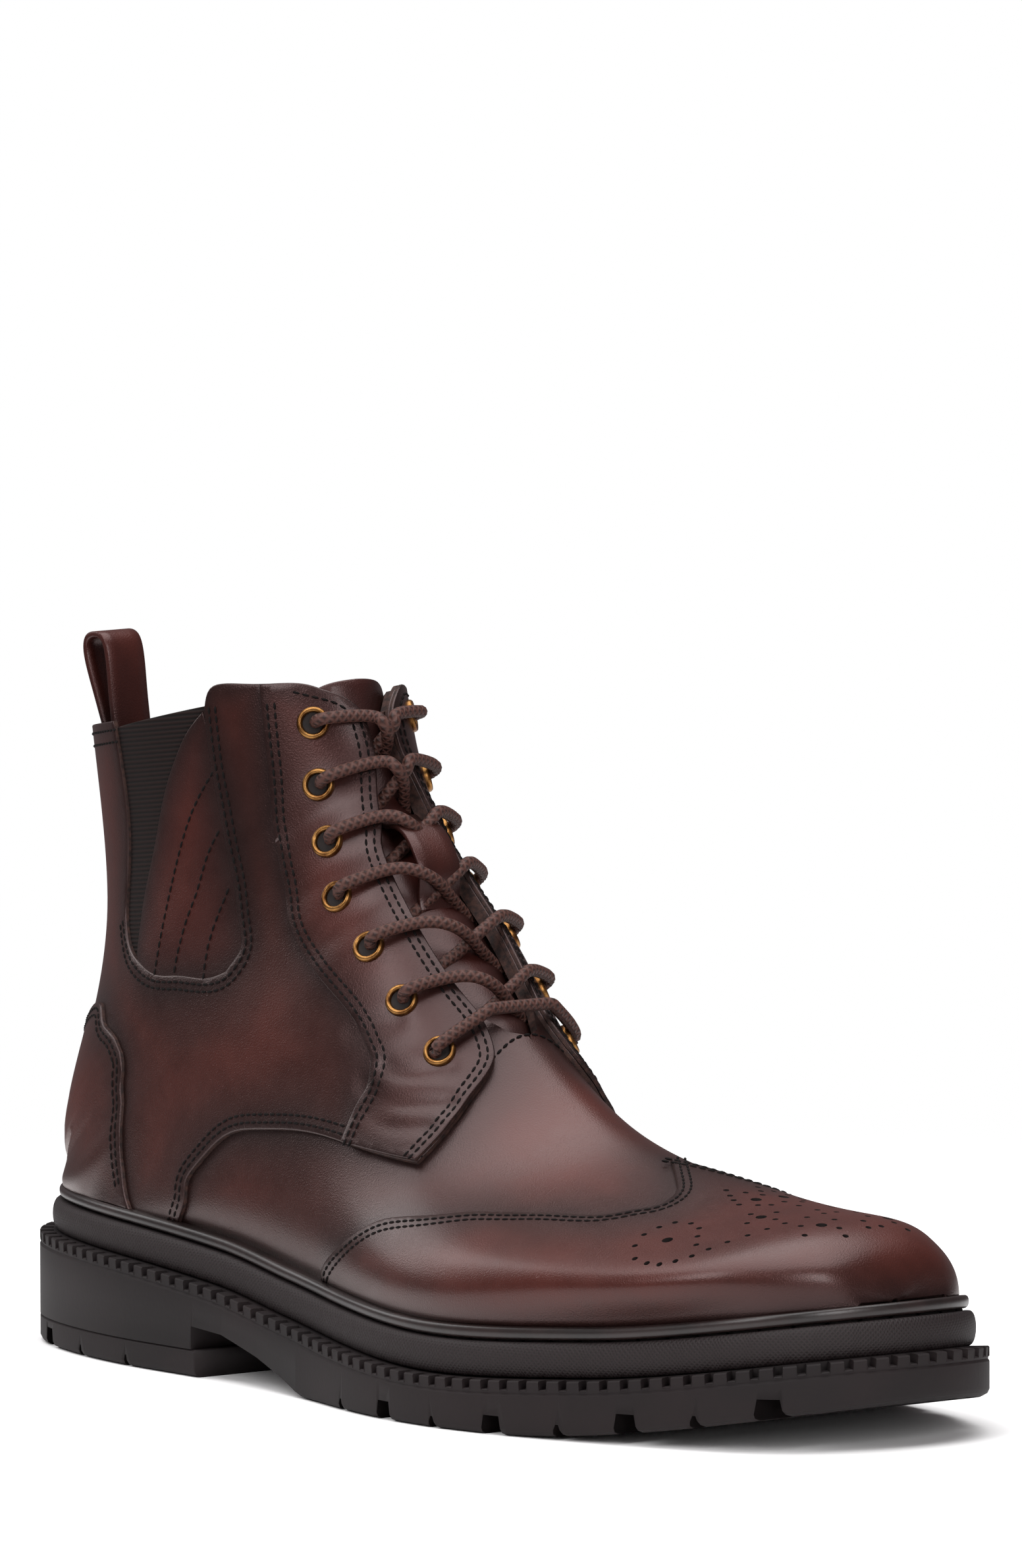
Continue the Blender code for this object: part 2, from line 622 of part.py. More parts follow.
def edge_notches():
    """Small notches that make the teeth of the band round the outsole's top edge."""
    rim = ring_points(800)
    run = np.r_[0, np.cumsum(np.linalg.norm(np.diff(np.vstack([rim, rim[:1]]), axis=0), axis=1))]
    count = round(run[-1] / TOOTH_PITCH)
    shapes = []
    for k in range(count):
        place = int((k + 0.5) / count * len(rim)) % len(rim)
        x, y = rim[place]
        ahead = rim[(place + 2) % len(rim)] - rim[place - 2]
        ahead = ahead / np.linalg.norm(ahead)
        inward = np.array([-ahead[1], ahead[0]])
        top = float(ridge_height(x)) + BAND_HEIGHT
        corners = []
        for z in (top - NOTCH_TALL, top + 0.002):
            for along, into in ((-1, -0.002), (1, -0.002), (1, LEDGE), (-1, LEDGE)):
                spot = np.array([x, y]) + ahead * along * NOTCH_WIDTH / 2 + inward * into
                corners.append((spot[0], spot[1], z))
        faces = [(3, 2, 1, 0), (4, 5, 6, 7)] + [(j, (j + 1) % 4, (j + 1) % 4 + 4, j + 4) for j in range(4)]
        shapes.append((corners, faces))
    return shapes


def make_outsole():
    """Unit outsole with heel block, arch, toe spring, lugs and the toothed band of its edge."""
    band = lambda along: ridge_height(along) + BAND_HEIGHT
    outsole = plate("outsole", [
        (0.0018, floor_height), (0.0006, lambda along: floor_height(along) + 0.0012),
        (0.0, ridge_height), (0.0, band),
    ], rubber())
    heel_end = BREAST_ALONG * SOLE_LENGTH
    lift = [(-0.02, -0.01), (heel_end + 0.004, -0.01), (heel_end + 0.004, HEEL_LIFT + GAP), (-0.02, HEEL_LIFT + GAP)]
    cut(outsole, prism("heel_seat_cutter", lift, -0.1, 0.1))
    arch = [(x * SOLE_LENGTH, BREAST_HEIGHT * z) for x, z in WAIST_LINE]
    arch += [(WAIST_LINE[-1][0] * SOLE_LENGTH, -0.01), (WAIST_LINE[0][0] * SOLE_LENGTH, -0.01)]
    cut(outsole, prism("arch_cutter", arch, -0.1, 0.1))
    cut(outsole, joined_cutter("lug_cutter", tread_notches(0.40, 1.0)))
    cut(outsole, joined_cutter("tooth_cutter", edge_notches()))


def make_heel_lift():
    """Tread layer under the heel block."""
    lift = plate("heel_lift", [
        (0.0018, lambda along: 0 * along), (0.0006, lambda along: 0 * along + 0.0012),
        (0.0, lambda along: 0 * along + HEEL_LIFT),
    ], rubber(), count=48)
    end = BREAST_ALONG * SOLE_LENGTH
    front_cut = [(end, -0.01), (SOLE_LENGTH + 0.02, -0.01), (SOLE_LENGTH + 0.02, 0.02), (end, 0.02)]
    cut(lift, prism("heel_front_cutter", front_cut, -0.1, 0.1))
    cut(lift, joined_cutter("heel_lug_cutter", tread_notches(0.0, 0.30)))


def make_midsole():
    """Rubber midsole with a rounded side and a raised bed inside the welt."""
    low, groove, top = 0.235, 0.80, 1.0
    plate("midsole", [
        (MIDSOLE_INSET + BULGE, at_share(low, GAP)), (MIDSOLE_INSET + 0.0003, at_share(low + 0.10)),
        (MIDSOLE_INSET, at_share(0.48)), (MIDSOLE_INSET + 0.0002, at_share(0.66)),
        (MIDSOLE_INSET + BULGE + 0.0003, at_share(groove - 0.03)), (WELT_INSET + 0.0022, at_share(groove)),
        (FEATHER_INSET + WALL + 0.0010, at_share(groove)), (FEATHER_INSET + WALL + 0.0014, at_share(top)),
    ], rubber())


def ring_band(name, profile, finish, count=OUTLINE_STEPS):
    """A closed strip round the sole from a closed profile of insets and height functions."""
    ring = ring_points(count)
    points, faces = [], []
    for inset, height in profile:
        points += [(x, y, float(height(x))) for x, y in inset_ring(ring, inset)]
    turns = len(profile)
    for turn in range(turns):
        low, high = turn * count, (turn + 1) % turns * count
        for k in range(count):
            after = (k + 1) % count
            faces.append((low + k, low + after, high + after, high + k))
    return add_object(name, points, faces, finish)


def make_welt():
    """Leather welt under the upper's edge, with rounded outer side."""
    low, inner = 0.80, FEATHER_INSET + WALL + 0.0006
    ring_band("welt", [
        (inner, at_share(low, GAP)), (WELT_INSET + 0.0009, at_share(low + 0.045)),
        (WELT_INSET, at_share(0.885)), (WELT_INSET + 0.0002, at_share(0.955)),
        (WELT_INSET + 0.0010, at_share(1.0)), (inner, at_share(1.0)),
    ], leather())


def make_insole():
    inset = FEATHER_INSET + WALL + INSOLE_CLEAR
    plate("insole", [(inset + 0.0006, at_share(1.0, GAP)), (inset, at_share(1.0, GAP + INSOLE_THICK / 2)),
                     (inset + 0.0008, at_share(1.0, GAP + INSOLE_THICK))],
          material("Insole leather", (0.20, 0.10, 0.055), 0.6), count=44)


# Upper


def slot_place(section):
    """Where the throat opening ends on a section: 1 before it opens."""
    rows = np.array(SLOT_EDGE)
    return np.where(section <= rows[0, 0], 1.0, np.interp(section, rows[:, 0], rows[:, 1]))


def collar_section(place):
    return np.interp(place, COLLAR_PLACES, COLLAR_SECTIONS)


def make_upper():
    """The hollow upper: one wall from the welt to the collar, open at collar, throat and underneath."""
    sections = [TIP_START] + WALL_ROWS
    columns = np.linspace(0, 1, WALL_COLUMNS)
    top_row = len(sections)
    points, faces, keys = [], [], {}

    def number(row, column, side):
        if row < top_row:
            section = sections[row]
            place = columns[column] * float(slot_place(section))
        else:
            place = columns[column] * float(slot_place(12.6))
            section = float(collar_section(place))
        shared = place > 1 - 1e-6 or (place < 1e-6 and section >= HEEL_ROW - 1e-6)
        key = (round(section, 5), round(place, 5), 0 if shared else side)
        if key not in keys:
            keys[key] = len(points)
            points.append((section, place, side))
        return keys[key]

    for side in SIDES:
        for row in range(top_row):
            for column in range(len(columns) - 1):
                face = (number(row, column, side), number(row + 1, column, side),
                        number(row + 1, column + 1, side), number(row, column + 1, side))
                faces.append(face if side > 0 else face[::-1])
    section, place, side = np.array(points).T
    low = skin(section, place, side, -WALL)
    high = skin(section, place, side, 0.0)
    walled("upper", low, high, faces, leather())


def feather_run(start, end, step=0.5):
    """Points of an outline along the feather line, between two sections."""
    return [(section, 0.0) for section in np.arange(start, end, step)]


def make_panels():
    over, under = SEAT, SEAT + PANEL
    second = under + SEAT
    toe = feather_run(TIP_START, WING_EDGE[0][0]) + WING_EDGE + [(TIP_START, 1.0)]
    panel("toe_cap", toe, SIDES, over, under, leather(), TOE_STEPS)
    beside_counter = [(section + 0.06 * (place < 0.2) * (1 if section > 11 else -1), place + 0.014)
                      for section, place in COUNTER_EDGE[-2:0:-1]]
    beside_counter[-1] = (COUNTER_EDGE[1][0] + 0.08, COUNTER_EDGE[1][1])
    back = [(COUNTER_EDGE[0][0] + 0.06, 0.05), (12.90, 0.05)]
    quarter = DERBY_EDGE + [(COUNTER_EDGE[-1][0] - 0.06, 0.0)] + beside_counter + back
    quarter = quarter + GORE_EDGE + FACING_TOP + THROAT_EDGE
    counter_foot = [(place, 0.0) for place in (8.8, 9.2, 9.6, 9.8, 10.0, 10.4, 10.9)]
    panel("counter", COUNTER_EDGE + counter_foot, SIDES, over + COUNTER_RAISE, over + 1.8 * PANEL, leather(), COUNTER_STEPS)
    gore = shrink(GORE_EDGE + [(12.82, 0.655)], 0.09, 0.016)
    pleat = shrink(PLEAT_EDGE + [(10.60, 0.485), (10.10, 0.568), (9.72, 0.612), (9.82, 0.655), (10.56, 0.668),
                                 (11.32, 0.655), (11.82, 0.645), (12.31, 0.640)], 0.10, 0.018)
    elastic = material("Elastic webbing", (0.020, 0.012, 0.010), 0.85)
    for side in SIDES:
        word = SIDE_NAMES[side]
        panel("quarter_" + word, quarter, (side,), over, under, leather())
        panel("eyestay_" + word, STAY_REAR + FACING_TOP[2:] + THROAT_EDGE[:-1] + [(6.55, 0.655), (6.80, 0.610)],
              (side,), second, second + PANEL, leather())
        panel("gore_" + word, gore, (side,), over, over + 0.0007, elastic)
        panel("gore_panel_" + word, pleat, (side,), over + 0.0007 + SEAT, over + 0.0015 + SEAT, leather())


def shrink(outline, section_step, place_step):
    """An outline drawn in towards its middle by a small clearance."""
    middle = np.mean(outline, axis=0)
    made = []
    for point in outline:
        pull = np.sign(middle - point) * (section_step, place_step)
        share = np.minimum(1, np.abs(middle - point) / (6 * section_step, 6 * place_step))
        made.append(tuple(np.add(point, pull * share)))
    return made


def make_tongue():
    """Padded tongue under the throat, rising a little over the collar."""
    outline = TONGUE_EDGE + [(TONGUE_TOP, 0.975), (TONGUE_TOP, 1.0), (TONGUE_EDGE[0][0], 1.0)]
    top = -WALL - 3 * GAP
    panel("tongue", outline, SIDES, top - TONGUE_THICK, top, leather(), (0.55, 0.07))


def tube(name, route, radius, finish, sides=6):
    """A closed round bar along a smooth curve through the route's points."""
    route = np.array(route)
    fine = smooth_at(route, np.linspace(0, len(route) - 1, 2 * (len(route) - 1) + 1))
    ahead = np.gradient(fine, axis=0)
    ahead /= np.linalg.norm(ahead, axis=1)[:, None]
    up = np.array([0.6, 0.0, 0.8])
    points, faces = [], []
    for spot, way in zip(fine, ahead):
        across = np.cross(way, up)
        across /= np.linalg.norm(across)
        rise = np.cross(across, way)
        for k in range(sides):
            turn = 2 * math.pi * k / sides
            points.append(spot + radius * (math.cos(turn) * across + math.sin(turn) * rise))
    for ring in range(len(fine) - 1):
        for k in range(sides):
            after = (k + 1) % sides
            faces.append((ring * sides + k, ring * sides + after, (ring + 1) * sides + after, (ring + 1) * sides + k))
    faces.append(tuple(range(sides - 1, -1, -1)))
    faces.append(tuple(range((len(fine) - 1) * sides, len(fine) * sides)))
    return add_object(name, points, faces, finish)


def lace_strand(number, side, lift):
    """Route from under one facing at an eyelet to the top of the next eyelet on the other side."""
    start_section, start_place = EYELETS[number - 1]
    end_section, end_place = EYELETS[number]
    base = 2 * (SEAT + PANEL) + 0.0003
    middle = (start_section + end_section) / 2
    slot_start = 1 - float(np.interp(start_section, *np.array(THROAT_EDGE[8::-1]).T))
    slot_end = 1 - float(np.interp(end_section, *np.array(THROAT_EDGE[8::-1]).T))
    seat = base + LACE_RADIUS + 0.0006
    return [
        front(max(start_section + 0.05, SLOT_EDGE[1][0] + 0.14), -side * max(slot_start - 0.030, 0.012), 0.0010),
        front(middle - 0.10, -side * 0.010, 0.0022 + lift),
        front(middle + 0.10, side * 0.022, seat + lift * 0.6),
        front(end_section - 0.05, side * (slot_end + 0.012), seat + 0.0006),
        front(end_section, side * (1 - end_place), base + EYELET_HEIGHT + LACE_RADIUS + 0.0013),
    ]


def make_laces():
    """One crossing of two strands over each gap between eyelets, and a bar across the lowest pair."""
    cord = material("Waxed cord", (0.040, 0.020, 0.014), 0.7)
    base = 2 * (SEAT + PANEL) + EYELET_HEIGHT + LACE_RADIUS + 0.0010
    section, place = EYELETS[0]
    bar = [front(section + 0.02 * (1 - abs(share)), share * (1 - place), base) for share in (-1, -0.6, -0.25, 0.25, 0.6, 1)]
    tube("lace_bar", bar, LACE_RADIUS, cord)
    for number in range(1, len(EYELETS)):
        over = tube(f"lace_crossing_{number}", lace_strand(number, -1, 0.0012), LACE_RADIUS, cord)
        under = tube(f"lace_crossing_{number}_other", lace_strand(number, 1, 0.0), LACE_RADIUS, cord)
        under.hide_render = True
        under.display_type = "WIRE"
        cut(over, under, "UNION")


def make_eyelets():
    """Brass eyelets: a rolled ring on the eyestay over each hole."""
    brass = material("Antique brass", (0.45, 0.27, 0.12), 0.35, 1.0)
    profile = [(EYELET_INNER, 0.0), (EYELET_OUTER, 0.0), (EYELET_OUTER - 0.0003, EYELET_HEIGHT * 0.7),
               (EYELET_OUTER - 0.0009, EYELET_HEIGHT), (EYELET_INNER, EYELET_HEIGHT * 0.55)]
    sides = 8
    for side in SIDES:
        for index, (section, place) in enumerate(EYELETS, 1):
            base = skin(section, place, float(side), 2 * (SEAT + PANEL) + 0.0004)
            out = normal(section, place, float(side))
            across = np.cross(out, (0.0, 0.0, 1.0))
            across /= np.linalg.norm(across)
            up = np.cross(out, across)
            points, faces = [], []
            for k in range(sides):
                turn = 2 * math.pi * k / sides
                way = across * math.cos(turn) + up * math.sin(turn)
                points += [base + way * radius + out * height for radius, height in profile]
            steps = len(profile)
            for k in range(sides):
                for j in range(steps):
                    here, after = k * steps, (k + 1) % sides * steps
                    faces.append((here + j, here + (j + 1) % steps, after + (j + 1) % steps, after + j))
            add_object(f"eyelet_{SIDE_NAMES[side]}_{index}", points, faces, brass)


def strip(name, path, width_way, width, thick, finish, closed=False):
    """A flat strap along a path, with its width along one direction."""
    path = np.array(path)
    if closed:
        ahead = np.roll(path, -1, 0) - np.roll(path, 1, 0)
    else:
        ahead = np.gradient(path, axis=0)
    ahead /= np.linalg.norm(ahead, axis=1)[:, None]
    width_way = np.asarray(width_way, float) / np.linalg.norm(width_way)
    out = np.cross(ahead, width_way)
    out /= np.linalg.norm(out, axis=1)[:, None]
    points, faces = [], []
    for spot, way in zip(path, out):
        for across, height in ((-0.5, 0), (0.5, 0), (0.5, 1), (-0.5, 1)):
            points.append(spot + width_way * across * width + way * height * thick)
    turns = len(path) if closed else len(path) - 1
    for k in range(turns):
        after = (k + 1) % len(path)
        for j in range(4):
            faces.append((k * 4 + j, k * 4 + (j + 1) % 4, after * 4 + (j + 1) % 4, after * 4 + j))
    if not closed:
        faces.append((3, 2, 1, 0))
        faces.append(tuple(len(points) - 4 + k for k in range(4)))
    return add_object(name, points, faces, finish)


def make_pull_loop():
    """Folded strap standing up from inside the back of the collar, leaning back over it."""
    top = skin(12.86, 0.0, 1.0, -WALL - LOOP_SET - LOOP_THICK)
    foot = skin(12.40, 0.0, 1.0, -WALL - LOOP_SET - LOOP_THICK)
    inner = np.array((LOOP_THICK + 0.0006, 0.0, 0.0))
    lean = np.array((-0.0030, 0.0, LOOP_RISE * 0.45))
    straight = LOOP_RISE * 0.78
    outer_leg = [foot, top, top + lean]
    crown = []
    for k in range(7):
        turn = math.pi * k / 6
        crown.append(top + (LOOP_DEPTH * (0.5 - 0.5 * math.cos(turn)) - 0.0040, 0.0,
                            straight + LOOP_DEPTH / 2 * math.sin(turn)))
    inner_leg = [top + (LOOP_DEPTH - 0.0050, 0.0, LOOP_RISE * 0.42), top + inner + (0.0008, 0, 0.0005), foot + inner]
    strip("pull_loop", outer_leg + crown + inner_leg, (0.0, 1.0, 0.0), LOOP_WIDTH, -LOOP_THICK, leather())


def make_lace_keeper():
    """Small leather keeper on the middle of the tongue, under the laces."""
    low = -WALL - GAP
    half = KEEPER_REACH / 2
    outline = [(KEEPER_SECTION - KEEPER_HALF, 1.0), (KEEPER_SECTION - KEEPER_HALF, 1 - half),
               (KEEPER_SECTION + KEEPER_HALF, 1 - half), (KEEPER_SECTION + KEEPER_HALF, 1.0)]
    panel("lace_keeper", outline, SIDES, low, low + KEEPER_THICK, leather(), (0.4, 0.053))


for old in list(bpy.data.objects):
    bpy.data.objects.remove(old, do_unlink=True)
make_outsole()
make_heel_lift()
make_midsole()
make_welt()
make_insole()
make_upper()
make_tongue()
make_panels()
make_eyelets()
make_laces()
make_lace_keeper()
make_pull_loop()
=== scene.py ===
"""Looks of the right lace-up wing-tip boot: burnished calf on a welted rubber unit sole.

Metres. The boot is drawn from the back of its heel, then settled round the middle of its sole,
as the solids are.
"""

import math

import bmesh
import bpy
import numpy as np
from mathutils import Matrix, Vector, kdtree
from mathutils.geometry import delaunay_2d_cdt


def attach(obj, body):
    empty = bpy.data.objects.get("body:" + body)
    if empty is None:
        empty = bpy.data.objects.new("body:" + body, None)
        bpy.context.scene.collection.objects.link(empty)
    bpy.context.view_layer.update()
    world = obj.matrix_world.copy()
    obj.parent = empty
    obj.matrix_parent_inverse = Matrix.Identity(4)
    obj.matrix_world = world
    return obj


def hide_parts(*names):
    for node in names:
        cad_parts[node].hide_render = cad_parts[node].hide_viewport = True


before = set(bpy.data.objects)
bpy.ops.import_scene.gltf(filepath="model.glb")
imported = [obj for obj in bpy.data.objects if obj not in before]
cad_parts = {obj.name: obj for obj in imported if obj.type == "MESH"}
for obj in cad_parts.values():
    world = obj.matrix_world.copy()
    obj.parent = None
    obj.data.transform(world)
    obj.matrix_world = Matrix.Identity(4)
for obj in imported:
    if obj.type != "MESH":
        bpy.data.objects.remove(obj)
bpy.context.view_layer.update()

# Driving sizes of the solids
SOLE_LENGTH = 0.308
BALL_WIDTH = 0.115
COLLAR_HEIGHT = 0.138
HEEL_RIDGE_HEIGHT = 0.0248
GAP = 0.0003
WALL = 0.0022
WELT_THICK = 0.0027
MIDSOLE_THICK = 0.0084
BAND_HEIGHT = 0.0034
HEEL_LIFT = 0.0068
BREAST_HEIGHT = 0.0126
TOE_SPRING = 0.0116
MIDSOLE_INSET = 0.0032
WELT_INSET = 0.0049
FEATHER_INSET = 0.0084
LUG_DEEP = 0.0047
LUG_SHALLOW = 0.0029

# Finish sizes
PANEL = 0.0012
EDGE_ROUND = 0.00035
TOOTH_PITCH = 0.00565
NOTCH_SHARE = 0.36
NOTCH_TALL = 0.0021
LEDGE = 0.0034
STITCH_PITCH = 0.0023
STITCH_LONG = 0.0019
STITCH_RADIUS = 0.00036
LACE_RADIUS = 0.00158
EYELET_OUTER = 0.0041
EYELET_INNER = 0.0026
EYELET_HEIGHT = 0.0011
LOOP_RISE = 0.0275
LOOP_WIDTH = 0.0125
LOOP_THICK = 0.0014
LOOP_SET = 0.0020
KEEPER_WIDTH = 0.0125
KEEPER_THICK = 0.0012
TONGUE_LOW = -0.0064
TONGUE_HIGH = -0.0034
PLEAT_LOW = 0.0003
PLEAT_HIGH = 0.0011
WELT_STITCH_PITCH = 0.0080
WELT_STITCH_LONG = 0.0078
WELT_STITCH_RADIUS = 0.0006
SEAM_NEAR = 0.0040
SEAM_FAR = 0.013

# Studio: each light's name, place and size in metres, and power in watts; angles in degrees
FLOOR_PLAIN = 0.22
FLOOR_RADIUS = 0.55
LIGHT_AIM = (0.0, 0.0, 0.06)
LIGHTS = [
    ("ceiling", (0.0, 0.0, 2.2), (2.6, 2.6), 72),
    ("key", (0.4, -1.9, 1.5), (0.9, 1.3), 26),
    ("front", (2.2, -0.5, 0.9), (0.6, 1.2), 24),
    ("back", (-1.6, -0.6, 1.1), (0.5, 1.2), 9),
]
CAMERA_PLACE = (3.014, -2.3572, 0.506)
CAMERA_TURN_DIP_ROLL = (51.88, 5.36, -0.14)
CAMERA_LENS = 364.3
CAMERA_SENSOR = 36.0

# Outline of the outsole, anticlockwise from the back of the heel by the outer side:
# along as shares of the sole length, across as shares of the ball width
OUTLINE_ALONG_ACROSS = [
    (0.000, 0.026), (0.014, -0.163), (0.070, -0.303), (0.194, -0.384), (0.324, -0.392), (0.452, -0.417),
    (0.563, -0.478), (0.681, -0.485), (0.793, -0.406), (0.883, -0.309), (0.957, -0.187), (0.998, 0.043),
    (0.984, 0.289), (0.908, 0.443), (0.797, 0.506), (0.681, 0.495), (0.552, 0.416), (0.422, 0.358),
    (0.292, 0.348), (0.162, 0.364), (0.065, 0.322), (0.013, 0.200),
]

# Height of the ridge under the toothed band: along as shares of the sole length,
# height as shares of the ridge height at the back of the heel
RIDGE_ALONG_HEIGHT = [
    (0.000, 1.000), (0.195, 0.919), (0.325, 0.778), (0.422, 0.585), (0.519, 0.448), (0.649, 0.363),
    (0.795, 0.440), (1.000, 0.774),
]

# Sections of the upper from the tip of the toe to the collar, fanned round the instep.
# top and low: ends of the section, along as shares of the sole length, up as shares of the collar height.
# Half widths and across values are shares of the ball width; heights on the section are shares of its length.
SECTION_COLUMNS = (
    "top_along top_up top_across low_along low_up swell swell_at "
    "outer_low outer_high inner_low inner_high crown low_at high_at"
).split()
SECTIONS = [
    (0.969, 0.000, 0.085, 0.966, 0.000, 0.000, 0.15, 0.085, 0.085, 0.085, 0.085, 0.001, 0.40, 0.75),
    (0.961, 0.064, 0.115, 0.963, 0.000, 0.000, 0.15, -0.030, -0.020, 0.215, 0.195, 0.030, 0.50, 0.85),
    (0.944, 0.111, 0.115, 0.946, 0.000, 0.000, 0.15, -0.130, -0.100, 0.288, 0.248, 0.080, 0.45, 0.76),
    (0.912, 0.143, 0.110, 0.910, 0.000, 0.005, 0.15, -0.235, -0.200, 0.350, 0.293, 0.110, 0.40, 0.72),
    (0.850, 0.174, 0.090, 0.835, 0.000, 0.010, 0.14, -0.350, -0.295, 0.405, 0.318, 0.115, 0.36, 0.66),
    (0.720, 0.244, 0.070, 0.700, 0.000, 0.020, 0.13, -0.435, -0.355, 0.435, 0.305, 0.100, 0.31, 0.60),
    (0.615, 0.328, 0.055, 0.565, 0.000, 0.020, 0.12, -0.410, -0.330, 0.375, 0.275, 0.085, 0.30, 0.59),
    (0.530, 0.458, 0.035, 0.420, 0.000, 0.020, 0.10, -0.345, -0.275, 0.330, 0.280, 0.105, 0.30, 0.64),
    (0.467, 0.588, 0.028, 0.270, 0.000, 0.020, 0.08, -0.310, -0.265, 0.310, 0.305, 0.135, 0.30, 0.71),
    (0.426, 0.678, 0.024, 0.120, 0.000, 0.030, 0.06, -0.300, -0.260, 0.305, 0.300, 0.130, 0.29, 0.71),
    (0.394, 0.758, 0.022, 0.023, 0.000, 0.220, 0.00, -0.290, -0.255, 0.305, 0.295, 0.125, 0.27, 0.70),
    (0.373, 0.826, 0.022, 0.016, 0.160, 0.150, 0.00, -0.250, -0.250, 0.275, 0.285, 0.115, 0.27, 0.71),
    (0.357, 0.886, 0.022, 0.028, 0.450, 0.085, 0.00, -0.215, -0.245, 0.245, 0.260, 0.115, 0.27, 0.72),
    (0.336, 1.000, 0.022, 0.008, 0.828, 0.070, 0.00, -0.245, -0.260, 0.275, 0.275, 0.120, 0.27, 0.72),
]
HEEL_ROW = 10
HEEL_SOFT = 1.0
HEEL_REACH = 0.62
HEEL_RISE = 0.30
HEEL_MEAN = [(-1.0, 0.16), (-0.5, 0.22), (0.0, 0.24), (0.5, 0.22), (1.0, 0.16)]
TIP_START = 0.06

# Panel edges on one side of the upper: section number, and place on the section from 0 at its
# low end to 1 on the front line
WING_EDGE = [
    (6.70, 0.000), (6.70, 0.075), (6.58, 0.201), (6.43, 0.333), (6.24, 0.447), (5.93, 0.547), (5.63, 0.629),
    (5.36, 0.673), (5.09, 0.711), (4.79, 0.748), (4.67, 0.792), (4.60, 0.830), (4.67, 0.887), (4.86, 0.937),
    (5.13, 1.000),
]
DERBY_EDGE = [
    (6.43, 0.635), (6.81, 0.566), (7.12, 0.516), (7.42, 0.465), (7.77, 0.396), (8.00, 0.352), (8.11, 0.302),
    (8.15, 0.226), (8.15, 0.157), (8.07, 0.088), (8.05, 0.000),
]
THROAT_EDGE = [
    (12.34, 0.969), (11.59, 0.969), (10.59, 0.950), (9.94, 0.937), (9.64, 0.925), (9.07, 0.918),
    (8.26, 0.912), (7.54, 0.912), (7.16, 0.918), (6.89, 0.906), (6.70, 0.874), (6.58, 0.805), (6.47, 0.723),
    (6.43, 0.635),
]
INNER_TOP = 12.76
COLLAR_BACK = [(12.92, 0.000), (12.94, 0.150), (12.92, 0.300), (12.90, 0.400)]
COLLAR_FRONT = [
    (12.80, 0.664), (12.97, 0.684), (13.00, 0.720), (12.95, 0.780), (12.88, 0.860), (12.77, 0.899), (12.66, 0.931),
    (12.50, 0.956), (12.34, 0.969),
]
GORE_BACK = [(12.90, 0.400), (12.35, 0.390), (12.01, 0.371), (11.62, 0.377), (11.05, 0.447), (10.48, 0.516),
             (10.10, 0.560), (9.71, 0.591), (9.52, 0.622)]
GORE_FRONT = [(9.52, 0.622), (9.60, 0.654), (9.83, 0.673), (10.56, 0.686), (11.32, 0.673), (11.82, 0.660),
              (12.31, 0.654), (12.80, 0.664)]
PLEAT_EDGE = [(12.80, 0.660), (12.68, 0.616), (12.54, 0.579), (12.35, 0.535), (12.12, 0.497),
              (11.85, 0.465),
              (11.59, 0.447), (11.24, 0.447), (11.01, 0.453), (10.75, 0.472)]
PLEAT_UNDER = [
    (10.75, 0.472), (10.40, 0.500), (10.00, 0.540), (9.60, 0.590), (9.44, 0.625), (9.52, 0.665), (9.80, 0.690),
    (10.56, 0.700), (11.32, 0.690), (11.82, 0.678), (12.31, 0.672), (12.80, 0.660),
]
ELASTIC_EDGE = [
    (12.86, 0.385), (12.35, 0.375), (12.01, 0.356), (11.62, 0.362), (11.05, 0.430), (10.48, 0.500), (10.10, 0.545),
    (9.71, 0.575), (9.45, 0.615), (9.55, 0.68), (10.56, 0.70), (11.32, 0.69), (12.31, 0.68), (12.84, 0.68),
]
PLEAT_SEAMS = [
    [(12.27, 0.654), (12.01, 0.591), (11.66, 0.553), (11.28, 0.535), (10.90, 0.522), (10.56, 0.509)],
    [(11.62, 0.654), (11.40, 0.629), (11.05, 0.610), (10.78, 0.585), (10.29, 0.553)],
    [(10.67, 0.673), (10.48, 0.654), (10.21, 0.629), (9.75, 0.591)],
]
STAY_REAR = [
    (7.08, 0.520), (7.19, 0.616), (7.27, 0.667), (7.38, 0.698), (7.46, 0.704), (7.77, 0.717), (8.15, 0.717),
    (8.68, 0.723), (9.33, 0.742), (10.10, 0.767), (10.98, 0.767), (11.85, 0.767), (12.43, 0.774), (12.94, 0.786),
]
STAY_FRONT = [(6.43, 0.635), (6.81, 0.566), (7.08, 0.520)]
STAY_TOP = [(12.94, 0.786), (12.88, 0.860), (12.77, 0.899), (12.66, 0.931), (12.50, 0.956), (12.34, 0.969)]
COUNTER_EDGE = [
    (11.42, 0.000), (11.35, 0.120), (11.13, 0.302), (10.75, 0.358), (10.36, 0.396), (9.87, 0.396),
    (9.56, 0.358), (9.22, 0.296), (8.87, 0.182), (8.68, 0.107), (8.45, 0.000),
]
EYELETS = [
    (7.04, 0.811), (7.61, 0.811), (8.30, 0.818), (9.22, 0.824), (10.17, 0.849), (11.36, 0.855), (12.39, 0.868),
]
SLOT_EDGE = [(6.86, 1.000), (6.92, 0.960), (7.20, 0.916), (7.54, 0.912), (8.26, 0.912), (9.07, 0.918),
             (9.64, 0.925), (9.94, 0.937), (10.59, 0.950), (11.59, 0.969), (13.00, 0.972)]

